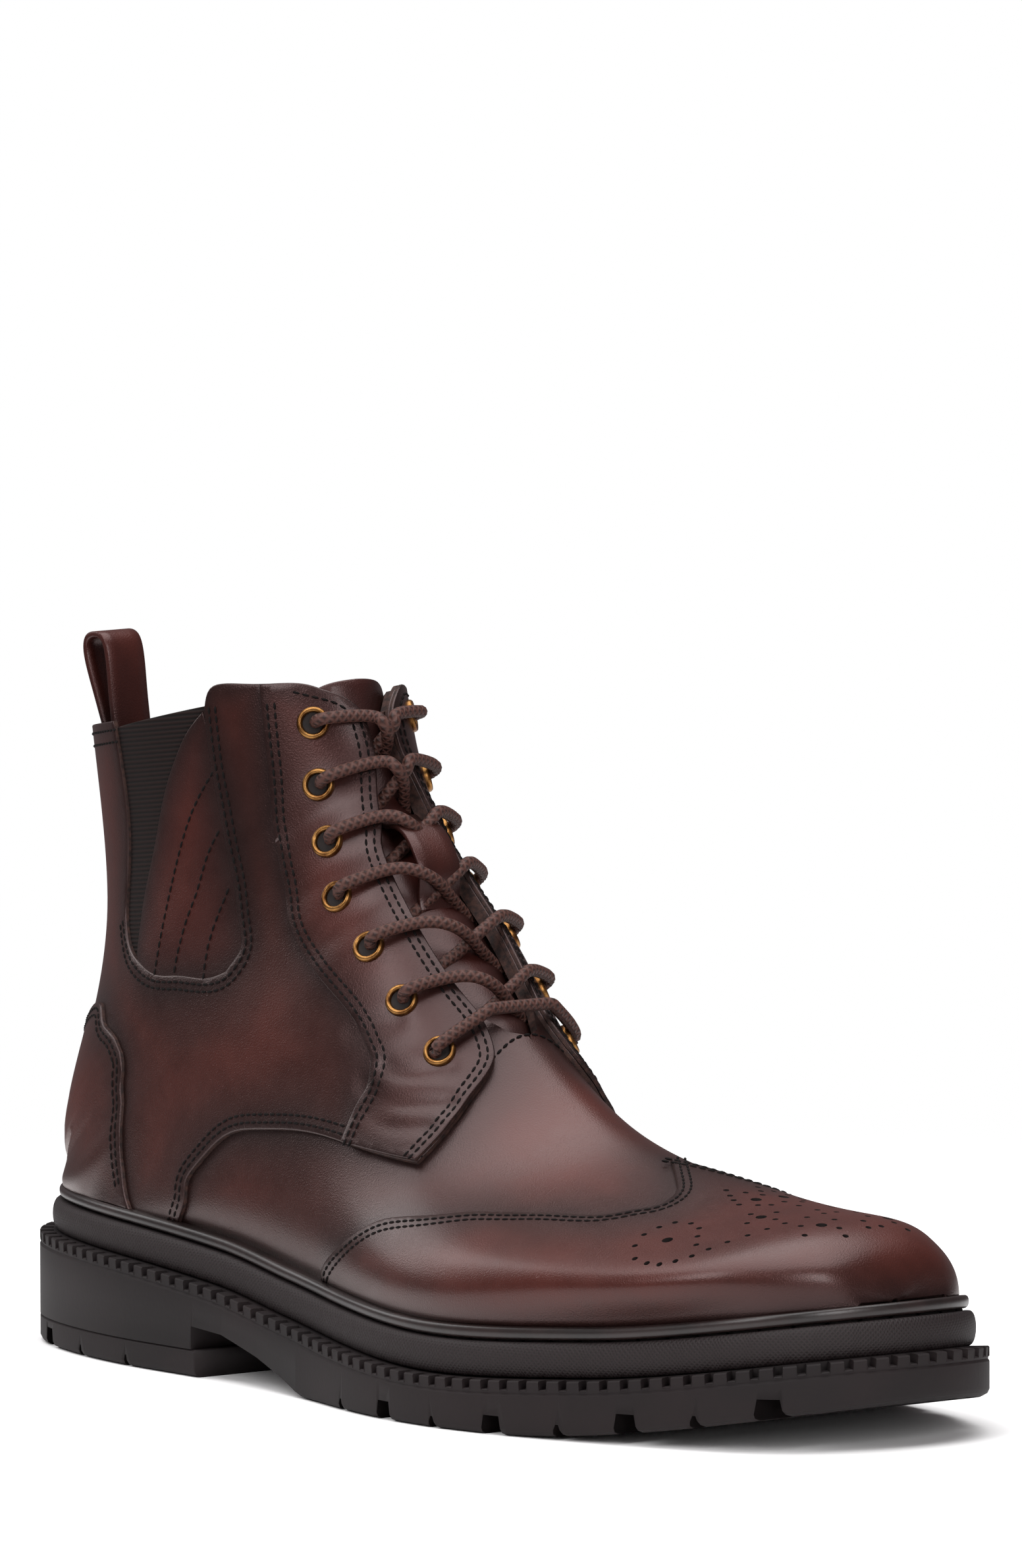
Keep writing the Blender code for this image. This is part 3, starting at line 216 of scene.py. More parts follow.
# Lug notches along both edges: middle and half width along, as shares of the sole length
DEEP_NOTCHES = [(0.085, 0.011), (0.607, 0.012), (0.728, 0.012), (0.844, 0.012), (0.950, 0.011)]
SHALLOW_NOTCHES = [(0.030, 0.007), (0.150, 0.007), (0.222, 0.007), (0.541, 0.009), (0.667, 0.010),
                   (0.787, 0.010),
                   (0.899, 0.010)]
BREAST_ALONG = 0.315
WAIST_LINE = [(0.310, 1.0), (0.350, 0.93), (0.400, 0.62), (0.440, 0.30), (0.485, -0.10)]
SPRING_START = 0.73
SPRING_POWER = 1.6

# Soft troughs of the leather: side, depth and reach in metres, then sections and places along each
CREASES = [
    (-1, 0.00040, 0.0024, [(6.62, 0.76), (6.85, 0.70), (7.05, 0.66), (7.30, 0.655)]),
    (-1, 0.00035, 0.0020, [(6.60, 0.70), (6.85, 0.64), (7.10, 0.62)]),
    (-1, 0.00035, 0.0022, [(6.86, 0.80), (7.05, 0.74), (7.25, 0.71)]),
    (-1, 0.00030, 0.0024, [(7.50, 0.78), (7.60, 0.745), (7.72, 0.70)]),
    (-1, 0.00030, 0.0036, [(10.70, 0.80), (10.75, 0.84), (10.80, 0.90)]),
    (-1, 0.00030, 0.0036, [(9.70, 0.78), (9.72, 0.83), (9.72, 0.88)]),
    (-1, 0.00030, 0.0036, [(8.74, 0.76), (8.76, 0.82), (8.76, 0.88)]),
    (1, 0.00035, 0.0024, [(6.62, 0.76), (6.90, 0.68), (7.20, 0.66)]),
    (1, 0.00030, 0.0036, [(9.70, 0.78), (9.72, 0.83), (9.72, 0.88)]),
    (1, 0.00030, 0.0036, [(10.70, 0.80), (10.75, 0.84), (10.80, 0.90)]),
]

# Punched holes of the toe cap's medallion, on both halves: section number and distance from the front line
SMALL_HOLE = 0.00076
LARGE_HOLE = 0.00140
LARGE_HOLES = [(4.26, 0.036), (3.88, 0.113), (2.95, 0.100), (4.13, 0.290)]
SMALL_HOLES = [
    (4.50, 0.042), (4.41, 0.058), (4.33, 0.071), (4.24, 0.082), (4.41, 0.020), (4.15, 0.060), (4.10, 0.040),
    (4.01, 0.110), (3.90, 0.072), (3.84, 0.156), (3.71, 0.111), (3.55, 0.016), (3.50, 0.066), (3.48, 0.126),
    (3.48, 0.174), (3.51, 0.224), (3.57, 0.273), (3.62, 0.325), (3.67, 0.378), (3.76, 0.418), (3.87, 0.445),
    (3.99, 0.438), (4.13, 0.411), (4.27, 0.338), (4.34, 0.283), (4.34, 0.243), (4.31, 0.213), (4.21, 0.203),
    (4.09, 0.216), (3.97, 0.254), (3.83, 0.300), (3.17, 0.130), (3.10, 0.046), (2.75, 0.185), (2.62, 0.088),
    (2.40, 0.020), (2.24, 0.118),
]
MIDDLE_HOLES = [(4.33, 0.0), (4.13, 0.0), (3.98, 0.0), (3.75, 0.0), (2.78, 0.0)]

SIDES = (-1, 1)
STEP = 0.0012
SIDE_NAMES = {-1: "lateral", 1: "medial"}


# Curves


def second_slopes(values, around):
    """Second derivatives of the cubic through rows one apart, or round a closed ring."""
    count = len(values)
    grid = np.eye(count) * 4
    drive = np.zeros_like(values)
    for row in range(count):
        if not around and row in (0, count - 1):
            grid[row] = np.eye(count)[row]
            continue
        before, after = (row - 1) % count, (row + 1) % count
        grid[row, before] += 1
        grid[row, after] += 1
        drive[row] = 6 * (values[before] - 2 * values[row] + values[after])
    return np.linalg.solve(grid, drive)


def smooth_at(values, place, around=False):
    """Cubic curve through rows one apart."""
    count = len(values)
    bend = second_slopes(values, around)
    first = np.floor(place).astype(int)
    first = first % count if around else np.clip(first, 0, count - 2)
    after = (first + 1) % count
    share = (place - (np.floor(place) if around else first))[..., None]
    rest = 1 - share
    return (rest * values[first] + share * values[after]
            + ((rest**3 - rest) * bend[first] + (share**3 - share) * bend[after]) / 6)


def steady_at(knots, values, place):
    """Cubic through single values that never overshoots them."""
    step = np.diff(knots)
    rise = np.diff(values) / step
    slope = np.zeros(len(values))
    for row in range(1, len(values) - 1):
        if rise[row - 1] * rise[row] > 0:
            near = 2 * step[row] + step[row - 1]
            far = step[row] + 2 * step[row - 1]
            slope[row] = (near + far) / (near / rise[row - 1] + far / rise[row])
    slope[0], slope[-1] = rise[0], rise[-1]
    first = np.clip(np.searchsorted(knots, place, side="right") - 1, 0, len(step) - 1)
    share = (place - knots[first]) / step[first]
    rest = 1 - share
    return (values[first] * (1 + 2 * share) * rest**2 + slope[first] * step[first] * share * rest**2
            + values[first + 1] * (3 - 2 * share) * share**2 - slope[first + 1] * step[first] * share**2 * rest)


def ring_points(count):
    """Points round the outsole's edge, spaced evenly, in metres."""
    marks = np.array(OUTLINE_ALONG_ACROSS) * (SOLE_LENGTH, BALL_WIDTH)
    fine = smooth_at(marks, np.linspace(0, len(marks), 60 * len(marks), endpoint=False), around=True)
    run = np.r_[0, np.cumsum(np.linalg.norm(np.diff(np.vstack([fine, fine[:1]]), axis=0), axis=1))]
    places = np.linspace(0, run[-1], count, endpoint=False)
    closed = np.vstack([fine, fine[:1]])
    return np.c_[np.interp(places, run, closed[:, 0]), np.interp(places, run, closed[:, 1])]


def inset_ring(ring, inset):
    """The ring moved inwards by one distance."""
    along = np.roll(ring, -1, 0) - np.roll(ring, 1, 0)
    along /= np.linalg.norm(along, axis=1)[:, None]
    return ring + np.c_[-along[:, 1], along[:, 0]] * inset


EDGE = ring_points(800)
MIDDLE_ACROSS = (EDGE[:, 1].min() + EDGE[:, 1].max()) / 2
RIDGE_KNOTS = np.array([row[0] for row in RIDGE_ALONG_HEIGHT]) * SOLE_LENGTH
RIDGE_HEIGHTS = np.array([row[1] for row in RIDGE_ALONG_HEIGHT]) * HEEL_RIDGE_HEIGHT


def ridge_height(along):
    return steady_at(RIDGE_KNOTS, RIDGE_HEIGHTS, np.clip(along, 0, SOLE_LENGTH))


def feather_height(along):
    """Top of the welt, where the upper meets it."""
    tread = BAND_HEIGHT + MIDSOLE_THICK + WELT_THICK
    return ridge_height(along) + tread * (1 + 0.12 * np.clip(along / SOLE_LENGTH, 0, 1))


def layer_height(along, share):
    """Height between the ridge, at 0, and the feather line, at 1."""
    low = ridge_height(along)
    return low + (feather_height(along) - low) * share


FEATHER = inset_ring(EDGE, FEATHER_INSET)
BACK, TIP = FEATHER[:, 0].argmin(), FEATHER[:, 0].argmax()
BACK_ALONG, TIP_ALONG = FEATHER[BACK, 0], FEATHER[TIP, 0]
TURNED = np.roll(FEATHER, -BACK, 0)
TO_TIP = (TIP - BACK) % len(FEATHER)
OUTER_FEATHER = TURNED[: TO_TIP + 1]
INNER_FEATHER = np.vstack([TURNED[TO_TIP:], TURNED[:1]])[::-1]


def feather_across(along, side):
    along = np.clip(along, BACK_ALONG, TIP_ALONG)
    outer = np.interp(along, OUTER_FEATHER[:, 0], OUTER_FEATHER[:, 1])
    inner = np.interp(along, INNER_FEATHER[:, 0], INNER_FEATHER[:, 1])
    return np.where(side < 0, outer, inner)


# Form of the upper

CONTROL_KNOTS = np.array([0, 0, 0, 0, 1 / 3, 2 / 3, 1, 1, 1, 1])


def control_shares(place):
    """Shares of six control points at a place from 0 to 1."""
    place = np.clip(place, 0, 1 - 1e-9)
    shares = [((place >= low) & (place < high)).astype(float) for low,
              high in zip(CONTROL_KNOTS, CONTROL_KNOTS[1:])]
    for degree in (1, 2, 3):
        level = []
        for k in range(len(shares) - 1):
            left = CONTROL_KNOTS[k + degree] - CONTROL_KNOTS[k]
            right = CONTROL_KNOTS[k + degree + 1] - CONTROL_KNOTS[k + 1]
            value = 0
            if left:
                value = value + (place - CONTROL_KNOTS[k]) / left * shares[k]
            if right:
                value = value + (CONTROL_KNOTS[k + degree + 1] - place) / right * shares[k + 1]
            level.append(value)
        shares = level
    return shares


TABLE = np.array(SECTIONS)
ROWS = np.arange(len(SECTIONS), dtype=float)


def surface(section, place, side):
    """A point of the upper's skin, softened round the heel where its sections turn."""
    section, place, side = np.broadcast_arrays(
        np.asarray(section, float), np.asarray(place, float), np.asarray(side, float)
    )
    made = bare_surface(section, place, side)
    rise = np.clip(place / HEEL_RISE, 0, 1)
    near = np.exp(-(((section - HEEL_ROW + 0.2) / HEEL_SOFT) ** 2)) * rise * rise * (3 - 2 * rise)
    soft = near > 0.01
    if soft.any():
        parts = [share * bare_surface(section[soft] + step * HEEL_REACH, place[soft], side[soft])
                 for step, share in HEEL_MEAN]
        made[soft] += near[soft][:, None] * (sum(parts) - made[soft])
    return made


def bare_surface(section, place, side):
    """A point of the skin: section number, place on it from 0 (low) to 1 (front), and side."""
    section, place, side = np.broadcast_arrays(
        np.asarray(section, float), np.asarray(place, float), np.asarray(side, float)
    )
    row = dict(zip(SECTION_COLUMNS, np.moveaxis(smooth_at(TABLE, section), -1, 0)))
    row["low_along"] = steady_at(ROWS, TABLE[:, 3], section)
    row["low_up"] = steady_at(ROWS, TABLE[:, 4], section)
    top_x = np.minimum(row["top_along"] * SOLE_LENGTH, TIP_ALONG)
    top_z = feather_height(top_x) + row["top_up"] * COLLAR_HEIGHT
    low_x = row["low_along"] * SOLE_LENGTH
    low_x = np.where(section < HEEL_ROW, np.clip(low_x, BACK_ALONG, TIP_ALONG), low_x)
    low_z = feather_height(low_x) + np.maximum(row["low_up"], 0) * COLLAR_HEIGHT
    back_y = FEATHER[BACK, 1]
    low_y = np.where(section >= HEEL_ROW, back_y, feather_across(low_x, side))
    wrap = np.clip(section - HEEL_ROW + 1, 0, 1)
    wrap = wrap * wrap * (3 - 2 * wrap)
    last_x = SECTIONS[HEEL_ROW - 1][3] * SOLE_LENGTH
    swell_y = (1 - wrap) * feather_across(np.maximum(low_x, last_x), side) + wrap * back_y
    swell_y = swell_y + side * row["swell"] * BALL_WIDTH
    low_side = np.where(side < 0, row["outer_low"], row["inner_low"]) * BALL_WIDTH
    high_side = np.where(side < 0, row["outer_high"], row["inner_high"]) * BALL_WIDTH
    crown_y = (row["top_across"] + side * row["crown"]) * BALL_WIDTH
    share = control_shares(place)
    across = (share[0] * low_y + share[1] * swell_y + share[2] * low_side + share[3] * high_side
              + share[4] * crown_y + share[5] * row["top_across"] * BALL_WIDTH)
    up = (share[1] * row["swell_at"] + share[2] * row["low_at"] + share[3] * row["high_at"]
          + share[4] + share[5])
    return np.stack([low_x + (top_x - low_x) * up, across, low_z + (top_z - low_z) * up], -1)


def normal(section, place, side):
    """Outward direction of the upper's skin."""
    section, place, side = (np.asarray(value, float) for value in (section, place, side))
    reach = 0.02
    low, high = np.maximum(section - reach, TIP_START / 2), section + reach
    along = surface(high, place, side) - surface(low, place, side)
    inside = np.clip(place, reach, 1 - reach)
    rise = surface(section, inside + reach, side) - surface(section, inside - reach, side)
    out = np.cross(along, rise) * side[..., None]
    return out / np.maximum(np.linalg.norm(out, axis=-1), 1e-12)[..., None]

CREASE_LINES = []


def trough_lines():
    """Each crease as a fine line on the skin."""
    for side, depth, reach, marks in CREASES:
        marks = smooth_at(np.array(marks), np.linspace(0, len(marks) - 1, 24))
        CREASE_LINES.append((side, depth, reach, surface(marks[:, 0], marks[:, 1], side)))


def folds(points, side):
    """Height that the creases and the puckers round the eyelets add to the leather."""
    made = np.zeros(len(points))
    for crease_side, depth, reach, line in CREASE_LINES:
        low, high = line.min(0) - 3 * reach, line.max(0) + 3 * reach
        near = np.all((points > low) & (points < high), axis=1) & (side * crease_side >= 0)
        if near.any():
            away = np.linalg.norm(points[near][:, None] - line[None], axis=2).min(1)
            ridge = 0.45 * np.exp(-((away / reach - 1.9) ** 2))
            made[near] += depth * (ridge - np.exp(-((away / reach) ** 2)))
    return made


def spot(section, across, toe, height):
    """Points over the skin, negative across on the outer side: counted from the front line on a toe piece,
    and from the low end on any other."""
    section, across = np.asarray(section, float), np.asarray(across, float)
    side = np.where(across < 0, -1.0, 1.0)
    place = np.clip(1 - np.abs(across) if toe else np.abs(across), 0, 1)
    out = normal(section, place, side)
    other = normal(section, place, -side)
    shared = (place > 1 - 1e-6) | ((place < 1e-6) & (section >= HEEL_ROW - 1e-6))
    both = out + other
    both = both / np.linalg.norm(both, axis=-1)[..., None]
    out = np.where(shared[..., None], both, out)
    points = surface(section, place, side)
    points = points + out * (height + folds(points, side))[:, None]
    foot = (place < 1e-6) & (section < HEEL_ROW + 1e-6)
    seat = feather_height(points[:, 0]) - GAP
    points[:, 2] = np.where(foot, seat, np.maximum(points[:, 2], seat))
    return points


def facing(section, across, toe):
    """Outward direction of the skin."""
    side = np.where(np.asarray(across) < 0, -1.0, 1.0)
    place = np.clip(1 - np.abs(across) if toe else np.abs(across), 0, 1)
    return normal(np.asarray(section, float), place, side)


# Lines drawn on the skin


def run_of(points):
    return np.r_[0, np.cumsum(np.linalg.norm(np.diff(points, axis=0), axis=1))]


def even_line(marks, toe, step):
    """Section and across values along a line, evenly spaced over the skin."""
    marks = np.array(marks, float)
    if len(marks) > 2:
        marks = smooth_at(marks, np.linspace(0, len(marks) - 1, 12 * (len(marks) - 1) + 1))
    else:
        share = np.linspace(0, len(marks) - 1, 24 * (len(marks) - 1) + 1)
        marks = np.c_[np.interp(share, range(len(marks)), marks[:, 0]),
                      np.interp(share, range(len(marks)), marks[:, 1])]
    run = run_of(spot(marks[:, 0], marks[:, 1], toe, np.zeros(len(marks))))
    places = np.linspace(0, run[-1], max(2, round(run[-1] / step) + 1))
    return np.c_[np.interp(places, run, marks[:, 0]), np.interp(places, run, marks[:, 1])]


def moved_line(line, toe, distance, closed=False):
    """A line on the skin moved sideways by a distance, to its left in section and across."""
    section, across = line.T
    reach = 0.01
    flat = np.zeros(len(line))
    safe = np.where(np.abs(across) < reach, reach * np.where(across < 0, -1, 1), across)
    high = np.maximum(section - reach, TIP_START / 2)
    along = (spot(section + reach, safe, toe, flat) - spot(high, safe, toe, flat)) / (section + reach - high)[:, None]
    rise = (spot(section, safe + reach, toe, flat) - spot(section, safe - reach, toe, flat)) / (2 * reach)
    if closed:
        ahead = np.roll(line, -1, 0) - np.roll(line, 1, 0)
    else:
        ahead = np.gradient(line, axis=0)
    way = along * ahead[:, :1] + rise * ahead[:, 1:]
    out = np.cross(along, rise)
    left = np.cross(out, way)
    left /= np.maximum(np.linalg.norm(left, axis=1), 1e-12)[:, None]
    aa, ar, rr = (along * along).sum(1), (along * rise).sum(1), (rise * rise).sum(1)
    da, dr = (left * along).sum(1), (left * rise).sum(1)
    size = np.maximum(aa * rr - ar * ar, 1e-16)
    return line + np.c_[da * rr - dr * ar, dr * aa - da * ar] / size[:, None] * distance


def joined(*lines):
    """A closed outline from lines that meet end to end."""
    made = []
    for line in lines:
        line = [tuple(point) for point in line]
        made += line if not made or np.linalg.norm(np.subtract(made[-1], line[0])) > 1e-6 else line[1:]
    if np.linalg.norm(np.subtract(made[0], made[-1])) < 1e-6:
        made = made[:-1]
    return np.array(made)


def mirrored(marks):
    return [(section, -across) for section, across in marks]


# Meshes


def settle(points):
    """Moves points from the heel's back to the origin under the middle of the sole."""
    return np.asarray(points, float) - (SOLE_LENGTH / 2, MIDDLE_ACROSS, 0)


def add_object(name, points, faces, finishes, indices=None, sharp=40, doubles=1e-6):
    """A closed piece in the boot's own frame, riding with the boot."""
    mesh = bpy.data.meshes.new(name)
    mesh.from_pydata([tuple(point) for point in settle(points)], [],
                     [tuple(map(int, face)) for face in faces])
    for finish in finishes:
        mesh.materials.append(finish)
    if indices is not None:
        mesh.polygons.foreach_set("material_index", np.asarray(indices, np.int32))
    if doubles:
        work = bmesh.new()
        work.from_mesh(mesh)
        bmesh.ops.remove_doubles(work, verts=work.verts, dist=doubles)
        bmesh.ops.recalc_face_normals(work, faces=work.faces)
        work.to_mesh(mesh)
        work.free()
    mesh.shade_smooth()
    mesh.set_sharp_from_angle(angle=math.radians(sharp))
    made = bpy.data.objects.new(name, mesh)
    bpy.context.scene.collection.objects.link(made)
    return made


SEAM_LINES = []


def mark_seams(made):
    """Writes how near each point is to a seam, for the burnish of the leather."""
    total = sum(len(line) for line in SEAM_LINES)
    tree = kdtree.KDTree(total)
    count = 0
    for line in SEAM_LINES:
        for point in settle(line):
            tree.insert(point, count)
            count += 1
    tree.balance()
    mesh = made.data
    away = np.array([tree.find(vert.co)[2] for vert in mesh.vertices])
    for name, reach in (("seam_near", SEAM_NEAR), ("seam_far", SEAM_FAR)):
        mark = mesh.attributes.new(name, "FLOAT", "POINT")
        mark.data.foreach_set("value", np.exp(-((away / reach) ** 1.4)).astype(np.float32))


def inside_mask(outline, points):
    """True for points inside a closed outline."""
    ax, ay = outline.T
    bx, by = np.roll(outline, -1, 0).T
    px, py = points[:, :1], points[:, 1:]
    spans = (ay > py) != (by > py)
    with np.errstate(divide="ignore", invalid="ignore"):
        cross = px < ax + (bx - ax) * (py - ay) / (by - ay)
    return (spans & cross).sum(1) % 2 == 1


def sheet_faces(outline, holes, section_step, across_step):
    """Triangles inside an outline and round its holes, in section and across."""
    stretch = section_step / across_step
    sections = np.arange(outline[:, 0].min() + section_step / 2, outline[:, 0].max(), section_step)
    acrosses = np.arange(outline[:, 1].min() + across_step / 2, outline[:, 1].max(), across_step)
    grid = np.array([(section, across + (row % 2) * across_step / 2)
                     for row, section in enumerate(sections) for across in acrosses])
    kept = grid[inside_mask(outline, grid)]
    border = np.vstack([outline] + holes)
    tree = kdtree.KDTree(len(border))
    for number, (section, across) in enumerate(border):
        tree.insert((section, across * stretch, 0), number)
    tree.balance()
    clear = [tree.find((section, across * stretch, 0))[2] > 0.45 * section_step for section, across in kept]
    kept = kept[np.array(clear, bool)]
    for hole in holes:
        kept = kept[~inside_mask(hole, kept)]
    loops, count = [], 0
    for loop in [outline] + holes:
        loops.append(list(range(count, count + len(loop))))
        count += len(loop)
    flat = np.vstack([border, kept]) * (1, stretch)
    verts, _, faces, _, _, origins = delaunay_2d_cdt([tuple(point) for point in flat], [], loops, 1, 1e-9)
    open_faces = [face for face, origin in zip(faces, origins) if not any(number > 0 for number in origin)]
    return np.array([(vert[0], vert[1] / stretch) for vert in verts]), open_faces


def turned_right(outline):
    area = (outline[:, 0] * np.roll(outline[:, 1], -1) - np.roll(outline[:, 0], -1) * outline[:, 1]).sum()
    return outline if area > 0 else outline[::-1]


def panel(name, outline, toe, low, high, finishes, steps=(0.07, 0.0135), holes=(), seams=True):
    """A leather panel over the skin with a rounded cut edge. holes are middles and radii in metres."""
    outline = turned_right(outline)
    tip = moved_line(outline, toe, EDGE_ROUND, closed=True)
    rings = [(outline, low), (outline, high - EDGE_ROUND),
             (moved_line(outline, toe, EDGE_ROUND * 0.3, True), high - EDGE_ROUND * 0.3)]
    hole_loops = [hole_loop(middle, radius, toe) for middle, radius in holes]
    params, faces = sheet_faces(tip, hole_loops, *steps)
    points = [spot(params[:, 0], params[:, 1], toe, np.full(len(params), high))]
    flips = [tuple(face) for face in faces]
    indices = [0] * len(flips)
    base = len(params)
    count = len(outline)
    loops = []
    for ring, height in rings:
        points.append(spot(ring[:, 0], ring[:, 1], toe, np.full(count, height)))
        loops.append(np.arange(base, base + count))
        base += count
    loops.append(np.arange(count))
    for row, (lower, upper) in enumerate(zip(loops, loops[1:])):
        for k in range(count):
            after = (k + 1) % count
            flips.append((lower[k], lower[after], upper[after], upper[k]))
            indices.append(1 if row < 1 else 0)
    start = count
    # Each hole's wall and floor take the panel's last finish, dark as painted shade in the hole.
    for loop in hole_loops:
        ring = np.arange(start, start + len(loop))
        start += len(loop)
        points.append(spot(loop[:, 0], loop[:, 1], toe, np.full(len(loop), low)))
        deep = np.arange(base, base + len(loop))
        base += len(loop)
        for k in range(len(loop)):
            after = (k + 1) % len(loop)
            flips.append((ring[k], ring[after], deep[after], deep[k]))
            indices.append(len(finishes) - 1)
        flips.append(tuple(deep))
        indices.append(len(finishes) - 1)
    made = add_object(name, np.vstack(points), flips, finishes, indices, sharp=50, doubles=0)
    if seams:
        SEAM_LINES.append(points[1])
    return made


def hole_loop(middle, radius, toe, corners=10):
    """A round hole in section and across, from its middle and its radius on the skin."""
    section, across = middle
    reach = 0.01
    line = np.array([[section, across]])
    one = np.array([0.0])
    high = spot(line[:, 0] + reach, line[:, 1], toe, one) - spot(line[:, 0] - reach, line[:, 1], toe, one)
    wide = spot(line[:, 0], line[:, 1] + reach, toe, one) - spot(line[:, 0], line[:, 1] - reach, toe, one)
    high, wide = high[0] / (2 * reach), wide[0] / (2 * reach)
    first = high / np.linalg.norm(high)
    second = wide - first * (wide @ first)
    second /= np.linalg.norm(second)
    frame_ways = np.array([[high @ first, wide @ first], [high @ second, wide @ second]])
    back = np.linalg.inv(frame_ways)
    turns = np.linspace(0, 2 * math.pi, corners, endpoint=False)
    return np.array([(section, across) + back @ (radius * math.cos(turn), radius * math.sin(turn))
                     for turn in turns])


# Finishes


def linear(code):
    """Linear colour from an sRGB hex value."""
    shares = [int(code[k:k + 2], 16) / 255 for k in (1, 3, 5)]
    return (*(share / 12.92 if share <= 0.04045 else ((share + 0.055) / 1.055) ** 2.4 for share in shares),
            1.0)


def add(tree, kind, sockets=None, stops=None, **settings):
    """A node with its settings, and its sockets given values or links."""
    made = tree.nodes.new(kind)
    for name, value in settings.items():
        setattr(made, name, value)
    if stops:
        marks = made.color_ramp.elements
        while len(marks) < len(stops):
            marks.new(0.5)
        for mark, (place, colour) in zip(marks, stops):
            mark.position, mark.color = place, colour
    for name, value in (sockets or {}).items():
        if isinstance(value, bpy.types.NodeSocket):
            tree.links.new(value, made.inputs[name])
        else:
            made.inputs[name].default_value = value
    return made


def finish_tree(name):
    made = bpy.data.materials.new(name)
    made.use_nodes = True
    tree = made.node_tree
    return made, tree, tree.nodes["Principled BSDF"]


def calf_leather(name, deep, middle, bright, roughness):
    """Burnished full-grain calf: hand-rubbed patina, near black along the seams and warm red between them,
    with a waxed half gloss and a very fine grain."""
    made, tree, shader = finish_tree(name)
    place = add(tree, "ShaderNodeTexCoord").outputs["Object"]
    clouds = add(tree, "ShaderNodeTexNoise",
                 {"Vector": place, "Scale": 17.0, "Detail": 2.0, "Roughness": 0.5})
    smoke = add(tree, "ShaderNodeTexNoise",
                {"Vector": place, "Scale": 130.0, "Detail": 4.0, "Roughness": 0.6})
    near = add(tree, "ShaderNodeAttribute", attribute_name="seam_near").outputs["Fac"]
    far = add(tree, "ShaderNodeAttribute", attribute_name="seam_far").outputs["Fac"]
    rub = add(tree, "ShaderNodeMapRange",
              {"Value": clouds.outputs["Fac"], 1: 0.30, 2: 0.66, 3: 0.36, 4: 0.72})
    dark = add(tree, "ShaderNodeMath", {0: far, 1: 0.42, 2: 0.0}, operation="MULTIPLY_ADD")
    patina = add(tree, "ShaderNodeMath", {0: rub.outputs[0], 1: dark.outputs[0]}, operation="SUBTRACT")
    patina = add(tree, "ShaderNodeMath", {0: smoke.outputs["Fac"], 1: 0.22, 2: patina.outputs[0]},
                 operation="MULTIPLY_ADD")
    tone = add(tree, "ShaderNodeValToRGB", {"Fac": patina.outputs[0]},
               stops=[(0.0, linear(deep)), (0.45, linear(middle)), (0.95, linear(bright))])
    edge = add(tree, "ShaderNodeMix", {0: near, 6: tone.outputs["Color"], 7: linear("#120b0a")},
               data_type="RGBA")
    gloss = add(tree, "ShaderNodeMapRange",
                {"Value": smoke.outputs["Fac"], 1: 0.3, 2: 0.7, 3: roughness - 0.04, 4: roughness + 0.05})
    cells = add(tree, "ShaderNodeTexVoronoi", {"Vector": place, "Scale": 1500.0},
                feature="DISTANCE_TO_EDGE")
    pores = add(tree, "ShaderNodeTexNoise", {"Vector": place, "Scale": 2600.0, "Detail": 2.0})
    relief = add(tree, "ShaderNodeMath", {0: cells.outputs["Distance"], 1: 0.7, 2: pores.outputs["Fac"]},
                 operation="MULTIPLY_ADD")
    bump = add(tree, "ShaderNodeBump", {"Strength": 0.30, "Distance": 0.0003, "Height": relief.outputs[0]})
    for socket, value in (("Base Color", edge.outputs[2]), ("Roughness", gloss.outputs[0]),
                          ("Normal", bump.outputs[0])):
        tree.links.new(value, shader.inputs[socket])
    shader.inputs["IOR"].default_value = 1.45
    shader.inputs["Specular Tint"].default_value = linear("#f4c4c4")
    shader.inputs["Coat Weight"].default_value = 0.30
    shader.inputs["Coat Roughness"].default_value = 0.28
    shader.inputs["Coat Tint"].default_value = linear("#ffe9e0")
    return made


def plain_finish(name, low, high, scale, roughness, relief_scale=0.0, relief=0.0, metallic=0.0):
    """A finish of two near tones with a fine relief: cut edges, lining, thread, brass and rubber."""
    made, tree, shader = finish_tree(name)
    place = add(tree, "ShaderNodeTexCoord").outputs["Object"]
    tone = add(tree, "ShaderNodeTexNoise", {"Vector": place, "Scale": scale, "Detail": 4.0})
    ramp = add(tree, "ShaderNodeValToRGB", {"Fac": tone.outputs["Fac"]},
               stops=[(0.36, linear(low)), (0.64, linear(high))])
    tree.links.new(ramp.outputs["Color"], shader.inputs["Base Color"])
    shader.inputs["Roughness"].default_value = roughness
    shader.inputs["Metallic"].default_value = metallic
    if relief:
        fine = add(tree, "ShaderNodeTexNoise", {"Vector": place, "Scale": relief_scale, "Detail": 3.0})
        bump = add(tree, "ShaderNodeBump",
                   {"Strength": relief, "Distance": 0.0003, "Height": fine.outputs["Fac"]})
        tree.links.new(bump.outputs[0], shader.inputs["Normal"])
    return made


